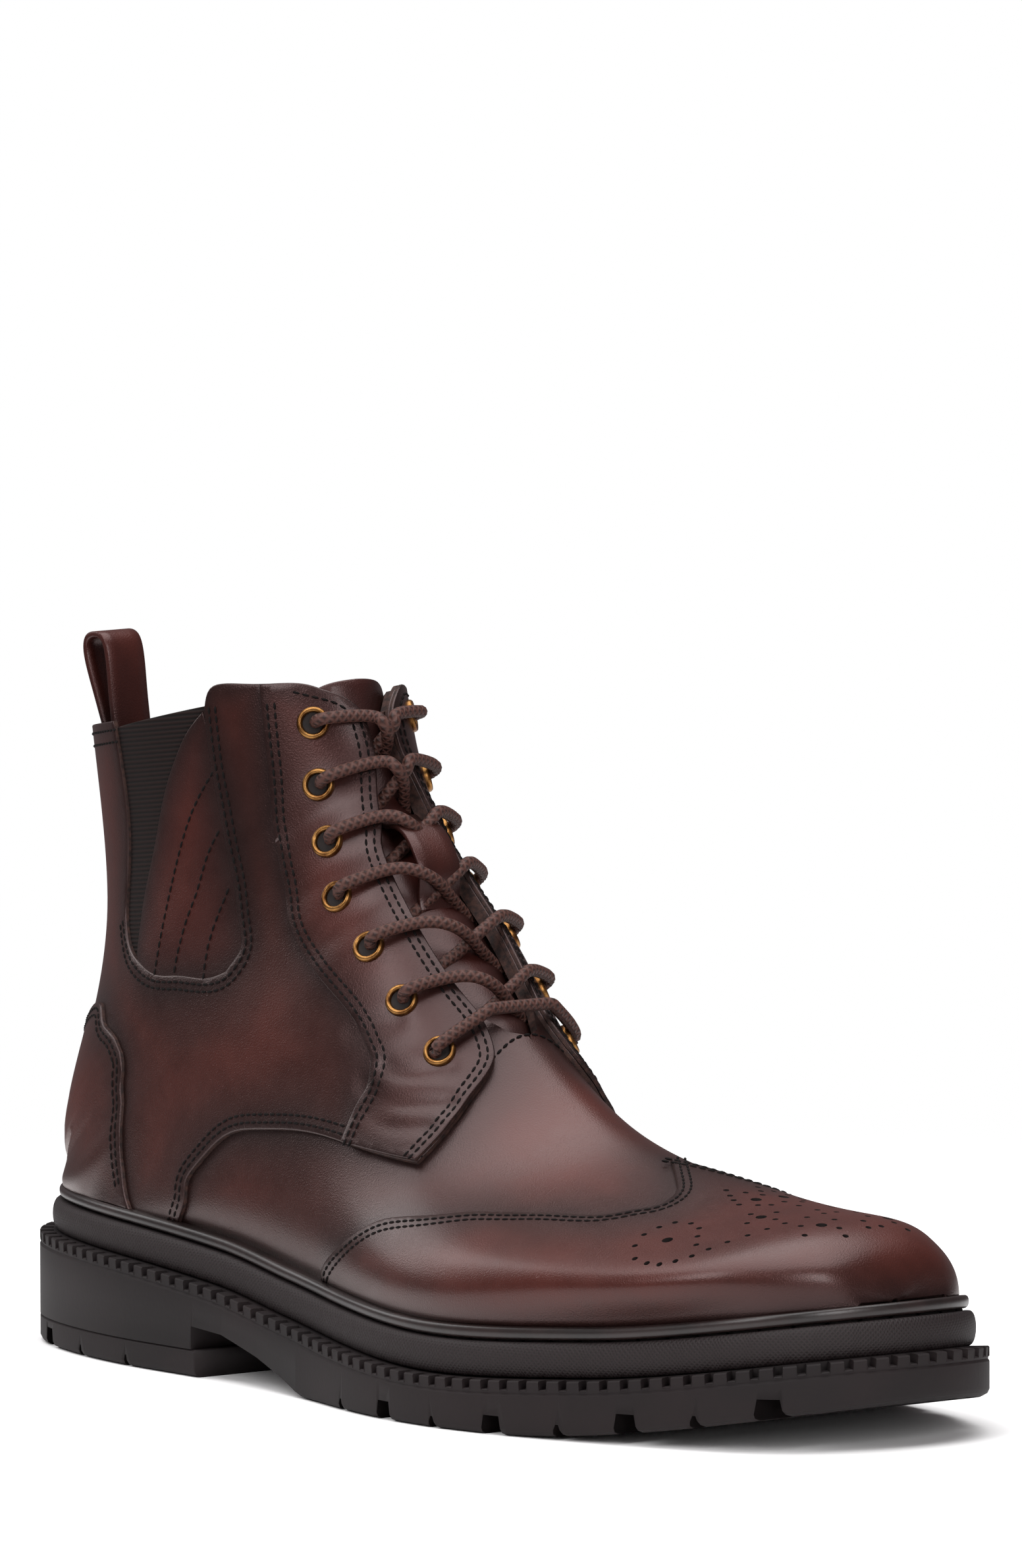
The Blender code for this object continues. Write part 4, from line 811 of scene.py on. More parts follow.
def striped_finish(name, low, high, attribute, pitch_share, roughness, depth=0.0004, strength=0.6):
    """Fine ribs that follow a value kept on the mesh: elastic webbing, braid or moulded lines. Their colour follows
    the rib height, darker in the valleys as painted shade between the ribs.
    """
    made, tree, shader = finish_tree(name)
    run = add(tree, "ShaderNodeAttribute", attribute_name=attribute).outputs["Vector"]
    apart = add(tree, "ShaderNodeSeparateXYZ", {0: run})
    first = add(tree, "ShaderNodeMath", {0: apart.outputs[0], 1: 2 * math.pi * pitch_share[0]},
                operation="MULTIPLY")
    second = add(tree, "ShaderNodeMath",
                 {0: apart.outputs[1], 1: 2 * math.pi * pitch_share[1], 2: first.outputs[0]},
                 operation="MULTIPLY_ADD")
    third = add(tree, "ShaderNodeMath",
                {0: apart.outputs[1], 1: -2 * math.pi * pitch_share[1], 2: first.outputs[0]},
                operation="MULTIPLY_ADD")
    waves = [add(tree, "ShaderNodeMath", {0: turn.outputs[0]}, operation="SINE")
             for turn in (second, third)]
    height = add(tree, "ShaderNodeMath", {0: waves[0].outputs[0], 1: waves[1].outputs[0]},
                 operation="MAXIMUM")
    share = add(tree, "ShaderNodeMapRange", {"Value": height.outputs[0], 1: -1.0, 2: 1.0})
    # Painted shade: dark in the rib valleys, lighter on the crests.
    tone = add(tree, "ShaderNodeValToRGB", {"Fac": share.outputs[0]},
               stops=[(0.1, linear(low)), (0.9, linear(high))])
    bump = add(tree, "ShaderNodeBump",
               {"Strength": strength, "Distance": depth, "Height": share.outputs[0]})
    tree.links.new(tone.outputs["Color"], shader.inputs["Base Color"])
    tree.links.new(bump.outputs[0], shader.inputs["Normal"])
    shader.inputs["Roughness"].default_value = roughness
    return made


CALF = calf_leather("Burnished calf leather", "#130a09", "#2c1410", "#4c2018", roughness=0.35)
CALF_DARK = calf_leather("Dark burnished calf leather", "#150908", "#331612", "#52231a", roughness=0.38)
CUT_EDGE = plain_finish("Cut leather edge", "#1d110f", "#3b251f", 700.0, 0.75, 1800.0, 0.3)
# Near-black finish for the walls and floors of the punched holes and the discs in the eyelets: painted shade in the
# holes.
HOLE_SHADE = plain_finish("Punched leather core", "#0d0706", "#1a0f0c", 900.0, 0.85)
LINING = plain_finish("Lining leather", "#3a2a22", "#4a372c", 60.0, 0.75, 1500.0, 0.25)
SOCK = plain_finish("Insole leather", "#6b4a34", "#7d5840", 60.0, 0.7, 1500.0, 0.25)
THREAD = plain_finish("Waxed polyester thread", "#080505", "#0f0a09", 900.0, 0.8)
RUBBER = plain_finish("Moulded rubber", "#120b0c", "#180f10", 40.0, 0.7, 900.0, 0.10)
# Darker, duller copy of the rubber for the faces cut by the lug notches: painted shade in the notches.
TREAD_SHADE = plain_finish("Moulded rubber in the tread", "#070505", "#0b0707", 60.0, 0.9, 900.0, 0.10)
WELT = plain_finish("Dyed welt leather", "#140d0c", "#221716", 90.0, 0.36, 700.0, 0.10)
BRASS = plain_finish("Antique brass", "#5f3d20", "#9a7040", 420.0, 0.36, 1200.0, 0.15, metallic=1.0)
ELASTIC = striped_finish("Elastic webbing", "#0a0504", "#1e110f", "run", (900.0, 0.0), 0.9)
BRAID = striped_finish("Braided waxed lace", "#26130f", "#4c2e27", "run", (520.0, 4.0), 0.62, 0.0005, 0.6)
HATCHED = striped_finish("Hatched moulded rubber", "#100909", "#1d1415", "run", (800.0, 800.0), 0.62,
                         0.0002, 0.5)


SHINES = [(RUBBER, 0.28), (TREAD_SHADE, 0.05), (HATCHED, 0.32), (ELASTIC, 0.22), (THREAD, 0.15), (BRAID, 0.35),
          (CUT_EDGE, 0.3)]
for finish, shine in SHINES:
    finish.node_tree.nodes["Principled BSDF"].inputs["Specular IOR Level"].default_value = shine


# Stitches


def stitch_tree():
    """Geometry nodes that lay threads along the edges of a mesh, each turned to the skin under it."""
    tree = bpy.data.node_groups.new("Stitch rows", "GeometryNodeTree")
    for name, kind in (("Geometry", "NodeSocketGeometry"), ("Pitch", "NodeSocketFloat"),
                       ("Thread Length", "NodeSocketFloat"),
                       ("Thread Radius", "NodeSocketFloat"), ("Finish", "NodeSocketMaterial")):
        tree.interface.new_socket(name=name, in_out="INPUT", socket_type=kind)
    tree.interface.new_socket(name="Geometry", in_out="OUTPUT", socket_type="NodeSocketGeometry")
    given = add(tree, "NodeGroupInput").outputs
    rows = add(tree, "GeometryNodeMeshToCurve", {"Mesh": given["Geometry"]})
    rows = add(tree, "GeometryNodeResampleCurve", {"Curve": rows.outputs[0], "Length": given["Pitch"]},
               mode="LENGTH")
    half = add(tree, "ShaderNodeMath", {0: given["Thread Length"], 1: 0.5}, operation="MULTIPLY")
    scale = add(tree, "ShaderNodeCombineXYZ",
                {0: half.outputs[0], 1: given["Thread Radius"], 2: given["Thread Radius"]})
    thread = add(tree, "GeometryNodeMeshUVSphere", {"Segments": 6, "Rings": 5, "Radius": 1.0})
    turned = add(tree, "GeometryNodeTransform",
                 {"Geometry": thread.outputs[0], "Rotation": (0, math.pi / 2, 0)})
    sized = add(tree, "GeometryNodeTransform", {"Geometry": turned.outputs[0], "Scale": scale.outputs[0]})
    way = add(tree, "GeometryNodeInputTangent")
    up = add(tree, "GeometryNodeInputNamedAttribute", {"Name": "skin_up"}, data_type="FLOAT_VECTOR")
    first = add(tree, "FunctionNodeAlignRotationToVector", {"Vector": way.outputs[0]}, axis="X")
    second = add(tree, "FunctionNodeAlignRotationToVector",
                 {"Rotation": first.outputs[0], "Vector": up.outputs[0]}, axis="Z", pivot_axis="X")
    laid = add(tree, "GeometryNodeInstanceOnPoints",
               {"Points": rows.outputs[0], "Instance": sized.outputs[0], "Rotation": second.outputs[0]})
    real = add(tree, "GeometryNodeRealizeInstances", {"Geometry": laid.outputs[0]})
    smooth = add(tree, "GeometryNodeSetShadeSmooth", {"Geometry": real.outputs[0]})
    dressed = add(tree, "GeometryNodeSetMaterial",
                  {"Geometry": smooth.outputs[0], "Material": given["Finish"]})
    add(tree, "NodeGroupOutput", {"Geometry": dressed.outputs[0]})
    return tree


STITCH_TREE = stitch_tree()


def stitch_piece(name, rows, pitch=STITCH_PITCH, long=STITCH_LONG, radius=STITCH_RADIUS):
    """All stitch rows of one kind as one piece. Each row is its points and the outward direction at each."""
    points = np.vstack([row for row, _ in rows])
    ways = np.vstack([way for _, way in rows])
    edges, count = [], 0
    for row, _ in rows:
        edges += [(k, k + 1) for k in range(count, count + len(row) - 1)]
        count += len(row)
    mesh = bpy.data.meshes.new(name)
    mesh.from_pydata([tuple(point) for point in settle(points)], edges, [])
    mark = mesh.attributes.new("skin_up", "FLOAT_VECTOR", "POINT")
    mark.data.foreach_set("vector", ways.astype(np.float32).ravel())
    made = bpy.data.objects.new(name, mesh)
    bpy.context.scene.collection.objects.link(made)
    modifier = made.modifiers.new("Stitches", "NODES")
    modifier.node_group = STITCH_TREE
    sizes = {"Pitch": pitch, "Thread Length": long, "Thread Radius": radius, "Finish": THREAD}
    for socket in STITCH_TREE.interface.items_tree:
        if socket.in_out == "INPUT" and socket.name in sizes:
            modifier[socket.identifier] = sizes[socket.name]
    graph = bpy.context.evaluated_depsgraph_get()
    mesh = bpy.data.meshes.new_from_object(made.evaluated_get(graph), depsgraph=graph)
    made.modifiers.clear()
    made.data = mesh
    return made


def skin_row(marks, toe, distance, height, step=0.0012):
    """A stitch row beside an edge line, at a height over the skin."""
    line = even_line(marks, toe, step)
    if distance:
        line = moved_line(line, toe, distance)
    points = spot(line[:, 0], line[:, 1], toe, np.full(len(line), height))
    return points, facing(line[:, 0], line[:, 1], toe)


# Upper


def slot_place(section):
    """Where the throat opening ends on a section: 1 before it opens."""
    rows = np.array(SLOT_EDGE)
    return np.where(section <= rows[0, 0], 1.0, np.interp(section, rows[:, 0], rows[:, 1]))


def lowered(marks, side):
    """Marks along the collar, with the inner side's front held lower than the outer side's."""
    return [(min(section, INNER_TOP), place) for section, place in marks] if side > 0 else marks


def collar_section(place, side):
    """The collar's edge: lower behind, and dropped at the front corners."""
    section = np.interp(place, [0.0, 0.40, 0.66, 0.70, 0.86, 0.90, 0.93, 0.972],
                        [12.90, 12.86, 12.78, 12.92, 12.82, 12.72, 12.60, 12.33])
    return min(section, INNER_TOP - 0.04) if side > 0 and place > 0.6 else section


def make_upper():
    """The vamp and the whole wall behind the panels, with its lining."""
    rows, columns = 170, 62
    straight, slot = SLOT_EDGE[-1][0] - 0.6, SLOT_EDGE[-1][1]
    shares = np.linspace(0, 1, columns)
    points, faces, keys = [], [], {}
    grid = np.r_[TIP_START, np.linspace(0.25, straight, rows), 13.0]

    def number(row, column, side):
        section = grid[row]
        if section <= straight:
            place = shares[column] * float(slot_place(section))
        else:
            place = shares[column] * slot
            section = float(collar_section(place, side))
        shared = place > 1 - 1e-6 or (place < 1e-6 and section >= HEEL_ROW - 1e-6)
        key = (round(section, 5), round(place, 5), 0 if shared else side)
        if key not in keys:
            keys[key] = len(points)
            points.append((section, place * side if place > 1e-6 else 1e-7 * side))
        return keys[key]

    for side in SIDES:
        for row in range(len(grid) - 1):
            for column in range(columns - 1):
                face = (number(row, column, side), number(row + 1, column, side),
                        number(row + 1, column + 1, side), number(row, column + 1, side))
                faces.append(face if side > 0 else face[::-1])
    section, across = np.array(points).T
    high = spot(section, across, False, np.zeros(len(section)))
    low = spot(section, across, False, np.full(len(section), -WALL))
    edges = {}
    for face in faces:
        for start, end in zip(face, face[1:] + face[:1]):
            edges[(start, end)] = True
    count = len(low)
    rims = [(end, start, start + count, end + count) for start, end in edges if (end, start) not in edges]
    body = [face[::-1] for face in faces] + [tuple(k + count for k in face) for face in faces]
    indices = [1] * len(faces) + [0] * len(faces) + [2] * len(rims)
    return add_object("upper_leather", np.vstack([low, high]), body + rims, [CALF, LINING, CUT_EDGE],
                      indices)


def side_line(marks, side):
    return [(section, side * place) for section, place in marks]


def side_edge(marks, side):
    """Marks on one side as an even line over the skin."""
    return even_line(side_line(marks, side), False, STEP)


def off_seam(marks):
    """Marks kept just off the back seam, so that they stay on their side."""
    return [(section, max(place, 1e-4)) for section, place in marks]


def foot_line(start, end, side, toe, step=0.12):
    """Along the feather line, between two sections."""
    count = max(2, round(abs(end - start) / step))
    across = side * (1.0 if toe else 1e-4)
    return np.c_[np.linspace(start, end, count), np.full(count, across)]


TOE_HEIGHT = PANEL
QUARTER_HEIGHT = PANEL + 0.0001
STAY_HEIGHT = 2 * PANEL
COUNTER_HEIGHT = 2 * PANEL


def make_leather():
    """The leather pieces over the wall, from the toe to the collar."""
    made = []
    wing = [(section, -(1 - place)) for section, place in WING_EDGE]
    outer, inner = even_line(wing, True, STEP), even_line(mirrored(wing), True, STEP)
    foot_outer = foot_line(TIP_START, WING_EDGE[0][0], -1, True)
    foot_inner = foot_line(WING_EDGE[0][0], TIP_START, 1, True)
    tip = np.c_[np.full(30, TIP_START), np.linspace(1, -1, 30)]
    cap = joined(foot_outer, outer, inner[::-1], foot_inner, tip)
    holes = [((section, side * across), radius) for side in SIDES
             for radius, marks in ((SMALL_HOLE, SMALL_HOLES),
                                   (LARGE_HOLE, LARGE_HOLES)) for section, across in marks]
    holes += [(mark, SMALL_HOLE) for mark in MIDDLE_HOLES]
    made.append(panel("toe_cap_leather", cap, True, 0.0, TOE_HEIGHT, [CALF, CUT_EDGE, HOLE_SHADE],
                      steps=(0.06, 0.0135), holes=holes))
    for side in SIDES:
        word = SIDE_NAMES[side]
        derby, throat = side_edge(DERBY_EDGE, side), side_edge(THROAT_EDGE, side)
        front = side_edge(lowered(COLLAR_FRONT, side), side)
        gore_front = side_edge(lowered(GORE_FRONT, side), side)
        gore_back = side_edge(GORE_BACK, side)
        back = side_edge(off_seam(COLLAR_BACK), side)
        heel = np.c_[np.linspace(10.0, 12.92, 60), np.full(60, side * 1e-4)]
        quarter = joined(throat, derby, foot_line(8.05, 10.0, side, False), heel, back, gore_back,
                         gore_front, front)
        made.append(panel("quarter_leather_" + word, quarter, False, 0.0, QUARTER_HEIGHT, [CALF, CUT_EDGE]))
        rear = side_edge(lowered(STAY_REAR, side), side)
        toe_end = side_edge(STAY_FRONT, side)
        top = side_edge(lowered(STAY_TOP, side), side)
        stay = joined(rear, top, throat, toe_end)
        made.append(panel("eyestay_leather_" + word, stay, False, QUARTER_HEIGHT, STAY_HEIGHT,
                          [CALF, CUT_EDGE], steps=(0.06, 0.012)))
        pleat = side_edge(PLEAT_EDGE, side)
        under = side_edge(PLEAT_UNDER, side)
        made.append(panel("gore_panel_leather_" + word, joined(pleat, under), False, PLEAT_LOW, PLEAT_HIGH,
                          [CALF_DARK, CUT_EDGE], steps=(0.08, 0.014)))
    outer = side_edge(off_seam(COUNTER_EDGE), -1)
    inner = side_edge(off_seam(COUNTER_EDGE), 1)
    counter = joined(outer, foot_line(8.45, 10.0, -1, False), foot_line(10.0, 8.45, 1, False), inner[::-1])
    made.append(panel("counter_leather", counter, False, QUARTER_HEIGHT, COUNTER_HEIGHT, [CALF, CUT_EDGE],
                      steps=(0.06, 0.014)))
    return made


def make_elastic():
    """Ribbed elastic of the side gores."""
    made = []
    for side in SIDES:
        outline = side_line(ELASTIC_EDGE, side)
        line = even_line(outline, False, STEP)
        closing = even_line([outline[-1], outline[0]], False, STEP)
        piece = panel("gore_elastic_" + SIDE_NAMES[side], joined(line, closing), False, -0.0002, 0.00025,
                      [ELASTIC, ELASTIC],
                      steps=(0.09, 0.015), seams=False)
        run = piece.data.attributes.new("run", "FLOAT_VECTOR", "POINT")
        values = [value for vert in piece.data.vertices
                  for value in (vert.co.z - 0.12 * vert.co.x, 0.0, 0.0)]
        run.data.foreach_set("vector", values)
        made.append(piece)
    return made


def make_stitches():
    rows = []
    wing = [(section, -(1 - place)) for section, place in WING_EDGE]
    for distance in (0.0016, 0.0034):
        rows.append(skin_row(wing, True, distance, TOE_HEIGHT))
        rows.append(skin_row(mirrored(wing), True, -distance, TOE_HEIGHT))
    for side in SIDES:
        for distance in (0.0017, 0.0036):
            turn = distance * side
            rows.append(skin_row(side_line(DERBY_EDGE, side), False, turn, QUARTER_HEIGHT))
            rows.append(skin_row(side_line(STAY_REAR[:-1] + [(12.70, 0.780)], side), False, turn,
                                 STAY_HEIGHT))
            rows.append(skin_row(side_line(COUNTER_EDGE[:-1], side), False, turn, COUNTER_HEIGHT))
            rows.append(skin_row(side_line(GORE_BACK[3:] + GORE_FRONT[1:], side), False, turn,
                                 QUARTER_HEIGHT))
        for distance in (0.0016, 0.0034):
            rows.append(skin_row(side_line(THROAT_EDGE, side), False, distance * side, STAY_HEIGHT))
        rows.append(skin_row(side_line(lowered(COLLAR_FRONT[4:], side), side), False, 0.0024 * side,
                             STAY_HEIGHT))
        rows.append(skin_row(side_line(COLLAR_BACK, side), False, 0.0022 * side, QUARTER_HEIGHT))
        rows.append(skin_row(side_line(COLLAR_BACK, side), False, 0.0052 * side, QUARTER_HEIGHT))
        for seam in PLEAT_SEAMS:
            rows.append(skin_row(side_line(seam, side), False, 0, PLEAT_HIGH))
    rows.append(skin_row([(6.78, -0.11), (6.85, -0.05), (6.87, 0.0), (6.85, 0.05), (6.78, 0.11)], True, 0,
                         0.0001))
    return stitch_piece("stitches", rows)


# Sole


def ring_columns(places):
    """Points on the outsole's edge at shares of its whole run, and the way inwards at each."""
    fine = ring_points(4000)
    closed = np.vstack([fine, fine[:1]])
    run = run_of(closed)
    places = np.asarray(places) * run[-1]
    ahead = np.gradient(np.vstack([fine[-1:], closed]), axis=0)[1:]
    points = np.c_[np.interp(places, run, closed[:, 0]), np.interp(places, run, closed[:, 1])]
    ways = np.c_[np.interp(places, run, ahead[:, 0]), np.interp(places, run, ahead[:, 1])]
    ways /= np.linalg.norm(ways, axis=1)[:, None]
    return points, np.c_[-ways[:, 1], ways[:, 0]]


def ring_stack(name, places, profile, finishes, closed=False, sharp=40):
    """A body round the sole. Each step of the profile gives insets and heights for all columns."""
    columns, inward = ring_columns(places)
    count = len(columns)
    points, faces = [], []
    for inset, height in profile:
        flat = columns + inward * (np.zeros(count) + inset)[:, None]
        points.append(np.c_[flat, height(flat[:, 0]) if callable(height) else height])
    turns = len(profile) if closed else len(profile) - 1
    for turn in range(turns):
        low, high = turn * count, (turn + 1) % len(profile) * count
        faces += [(low + k, low + (k + 1) % count, high + (k + 1) % count, high + k) for k in range(count)]
    if not closed:
        for level in (0, len(profile) - 1):
            flat = [tuple(point[:2]) for point in points[level]]
            lid = delaunay_2d_cdt(flat, [], [list(range(count))], 1, 1e-9)[2]
            faces += [tuple(level * count + k for k in face) for face in lid]
    return add_object(name, np.vstack(points), faces, finishes, sharp=sharp)


def at_share(share, more=0.0):
    return lambda along: layer_height(along, share) + more


def floor_height(along):
    start = SPRING_START * SOLE_LENGTH
    share = np.clip((along - start) / (SOLE_LENGTH - start), 0, 1)
    return TOE_SPRING * share**SPRING_POWER


def cutter(name, shapes, finish=None):
    """A cutter from closed shapes that don't meet, each given as points and faces."""
    points, faces = [], []
    for shape_points, shape_faces in shapes:
        base = len(points)
        points += [tuple(point) for point in shape_points]
        faces += [tuple(k + base for k in face) for face in shape_faces]
    return add_object(name, np.array(points), faces, [finish or RUBBER], sharp=20)


def prism(outline, low_y=-0.1, high_y=0.1):
    count = len(outline)
    points = [(x, low_y, z) for x, z in outline] + [(x, high_y, z) for x, z in outline]
    faces = [tuple(range(count)), tuple(range(2 * count - 1, count - 1, -1))]
    faces += [(k, k + count, (k + 1) % count + count, (k + 1) % count) for k in range(count)]
    return points, faces


def carve(target, made):
    """Cuts a shape out of a piece and removes the cutter."""
    modifier = target.modifiers.new("Cut", "BOOLEAN")
    modifier.operation, modifier.solver, modifier.object = "DIFFERENCE", "EXACT", made
    modifier.material_mode = "TRANSFER"
    graph = bpy.context.evaluated_depsgraph_get()
    mesh = bpy.data.meshes.new_from_object(target.evaluated_get(graph), depsgraph=graph)
    target.modifiers.clear()
    target.data = mesh
    bpy.data.objects.remove(made, do_unlink=True)


def wedge(middle, reach, depth, low_y, high_y, narrow):
    floor = float(floor_height(middle))
    half = reach * SOLE_LENGTH
    return prism([(middle - half, floor - 0.004), (middle + half, floor - 0.004),
                  (middle + half * narrow, floor + depth), (middle - half * narrow, floor
                                                            + depth)], low_y, high_y)


def tread_notches(low, high):
    shapes = []
    for rows, depth, inward, narrow in ((DEEP_NOTCHES, LUG_DEEP, 0.017, 0.6),
                                        (SHALLOW_NOTCHES, LUG_SHALLOW, 0.012, 0.12)):
        for place, reach in rows:
            if not low < place < high:
                continue
            middle = place * SOLE_LENGTH
            near = np.abs(EDGE[:, 0] - middle) < 0.004
            outer = EDGE[near & (EDGE[:, 1] < MIDDLE_ACROSS), 1].min()
            inner = EDGE[near & (EDGE[:, 1] > MIDDLE_ACROSS), 1].max()
            shapes.append(wedge(middle, reach, depth, outer - 0.006, outer + inward, narrow))
            shapes.append(wedge(middle, reach, depth, inner - inward, inner + 0.006, narrow))
            if depth == LUG_DEEP:
                shapes.append(wedge(middle, 0.006, depth * 0.64, outer + inward + 0.004,
                                    inner - inward - 0.004, 1.0))
    return shapes


def make_sole():
    """Outsole with its toothed band, heel lift, rounded midsole and welt."""
    around = run_of(np.vstack([EDGE, EDGE[:1]]))[-1]
    teeth = round(around / TOOTH_PITCH)
    marks = np.array([0.0, NOTCH_SHARE, NOTCH_SHARE + 0.03, 0.62, 0.80, 0.97])
    places = ((np.arange(teeth)[:, None] + marks[None]) / teeth).ravel()
    notch = np.tile(marks <= NOTCH_SHARE, teeth)
    columns = ring_columns(places)[0]
    ridge = ridge_height(columns[:, 0])
    top = ridge + BAND_HEIGHT
    cut_top = np.where(notch, top - NOTCH_TALL, top)
    outsole = ring_stack("outsole_rubber", places, [
        (0.0018, floor_height), (0.0005, lambda along: floor_height(along) + 0.0006),
        (0.0, lambda along: floor_height(along)
         + 0.0016), (0.0, ridge - 0.0002), (0.0004, ridge + 0.0004), (0.0002, ridge + 0.0009),
        (0.0, cut_top - 0.0003), (0.0003, cut_top), (LEDGE, cut_top), (LEDGE, top), (0.012, top),
    ], [RUBBER], sharp=30)
    heel_end = BREAST_ALONG * SOLE_LENGTH
    lift = [(-0.02, -0.01), (heel_end + 0.004, -0.01), (heel_end + 0.004, HEEL_LIFT + 0.0001),
            (-0.02, HEEL_LIFT + 0.0001)]
    carve(outsole, cutter("lift_cutter", [prism(lift)]))
    arch = [(x * SOLE_LENGTH, BREAST_HEIGHT * z) for x, z in WAIST_LINE]
    arch += [(WAIST_LINE[-1][0] * SOLE_LENGTH, -0.01), (WAIST_LINE[0][0] * SOLE_LENGTH, -0.01)]
    carve(outsole, cutter("arch_cutter", [prism(arch)]))
    # The notch faces take the darker rubber: painted shade in the notches.
    carve(outsole, cutter("lug_cutter", tread_notches(0.40, 1.0), TREAD_SHADE))
    plain = np.linspace(0, 1, 360, endpoint=False)
    heel = ring_stack("heel_rubber", plain, [
        (0.0018, lambda along: 0 * along),
        (0.0005, lambda along: 0 * along + 0.0006),
        (0.0, lambda along: 0 * along + 0.0016),
        (0.0, lambda along: 0 * along + HEEL_LIFT - 0.0005),
        (0.0005, lambda along: 0 * along + HEEL_LIFT),
    ], [RUBBER], sharp=30)
    carve(heel, cutter("heel_front_cutter", [prism([(heel_end, -0.01), (SOLE_LENGTH + 0.02, -0.01),
                                                    (SOLE_LENGTH + 0.02, 0.02), (heel_end, 0.02)])]))
    # The heel's notch faces take the darker rubber: painted shade in the notches.
    carve(heel, cutter("heel_lug_cutter", tread_notches(0.0, 0.30), TREAD_SHADE))
    low, groove = 0.235, 0.80
    turns = np.linspace(-math.pi / 2, math.pi / 2, 13)
    side = [(MIDSOLE_INSET + 0.0022 * (1 - math.cos(turn) ** 0.7 if math.cos(turn) > 1e-6 else 1.0),
             at_share(low + (groove - 0.03 - low) * (0.5 + 0.5 * math.sin(turn)))) for turn in turns]
    midsole = ring_stack("midsole_rubber", plain, side + [(FEATHER_INSET + WALL, at_share(groove - 0.03))],
                         [HATCHED])
    mark = midsole.data.attributes.new("run", "FLOAT_VECTOR", "POINT")
    spots = np.array([vert.co for vert in midsole.data.vertices])
    rim = settle(np.c_[EDGE, np.zeros(len(EDGE))])
    nearest = [int(np.linalg.norm(rim[:, :2] - point[:2], axis=1).argmin()) for point in spots]
    mark.data.foreach_set("vector", np.c_[run_of(rim)[nearest], spots[:, 2],
                                          np.zeros(len(spots))].astype(np.float32).ravel())
    bulge = [(WELT_INSET + 0.0016 * (1 - max(math.cos(turn), 0.0) ** 0.6),
              at_share(0.90 + 0.10 * math.sin(turn))) for turn in turns]
    welt = ring_stack("welt_leather", plain, [(FEATHER_INSET + WALL, at_share(0.80)),
                                              (WELT_INSET + 0.0028, at_share(0.80))] + bulge
                      + [(FEATHER_INSET + WALL, at_share(1.0))], [WELT], closed=True)
    rim = np.linspace(0, 1, 700, endpoint=False)
    columns, inward = ring_columns(rim)
    flat = columns + inward * (WELT_INSET + 0.0020)
    line = np.c_[flat, layer_height(flat[:, 0], 0.785)]
    threads = stitch_piece("welt_stitches", [(line, -np.c_[inward, np.zeros(len(inward))])],
                           pitch=WELT_STITCH_PITCH, long=WELT_STITCH_LONG, radius=WELT_STITCH_RADIUS)
    return {"outsole": outsole, "heel_lift": heel, "midsole": midsole, "welt": welt}, threads


# Trim


def rod(name, route, radius, finish, steps=8, sides=10):
    """A round cord along a smooth curve, with its run and its turn kept for the braid."""
    route = np.array(route)
    fine = smooth_at(route, np.linspace(0, len(route) - 1, steps * (len(route) - 1) + 1))
    run = run_of(fine)
    ahead = np.gradient(fine, axis=0)
    ahead /= np.linalg.norm(ahead, axis=1)[:, None]
    up = np.array([0.6, 0.0, 0.8])
    points, values, faces = [], [], []
    for spot_now, way, along in zip(fine, ahead, run):
        across = np.cross(way, up)
        across /= np.linalg.norm(across)
        rise = np.cross(across, way)
        for k in range(sides):
            turn = 2 * math.pi * k / sides
            points.append(spot_now + radius * (math.cos(turn) * across + math.sin(turn) * rise))
            values.append((along, k / sides, 0.0))
    for ring in range(len(fine) - 1):
        for k in range(sides):
            after = (k + 1) % sides
            faces.append((ring * sides + k, ring * sides + after, (ring + 1) * sides + after,
                          (ring + 1) * sides + k))
    faces.append(tuple(range(sides - 1, -1, -1)))
    faces.append(tuple(range((len(fine) - 1) * sides, len(fine) * sides)))
    made = add_object(name, np.array(points), faces, [finish], doubles=0, sharp=60)
    mark = made.data.attributes.new("run", "FLOAT_VECTOR", "POINT")
    mark.data.foreach_set("vector", np.array(values, np.float32).ravel())
    return made


def on_side(section, place, side, height):
    return spot([section], [side * place], False, np.array([height]))[0]


def edge_place(section):
    rows = np.array(THROAT_EDGE[:9][::-1])
    return float(np.interp(section, rows[:, 0], rows[:, 1]))


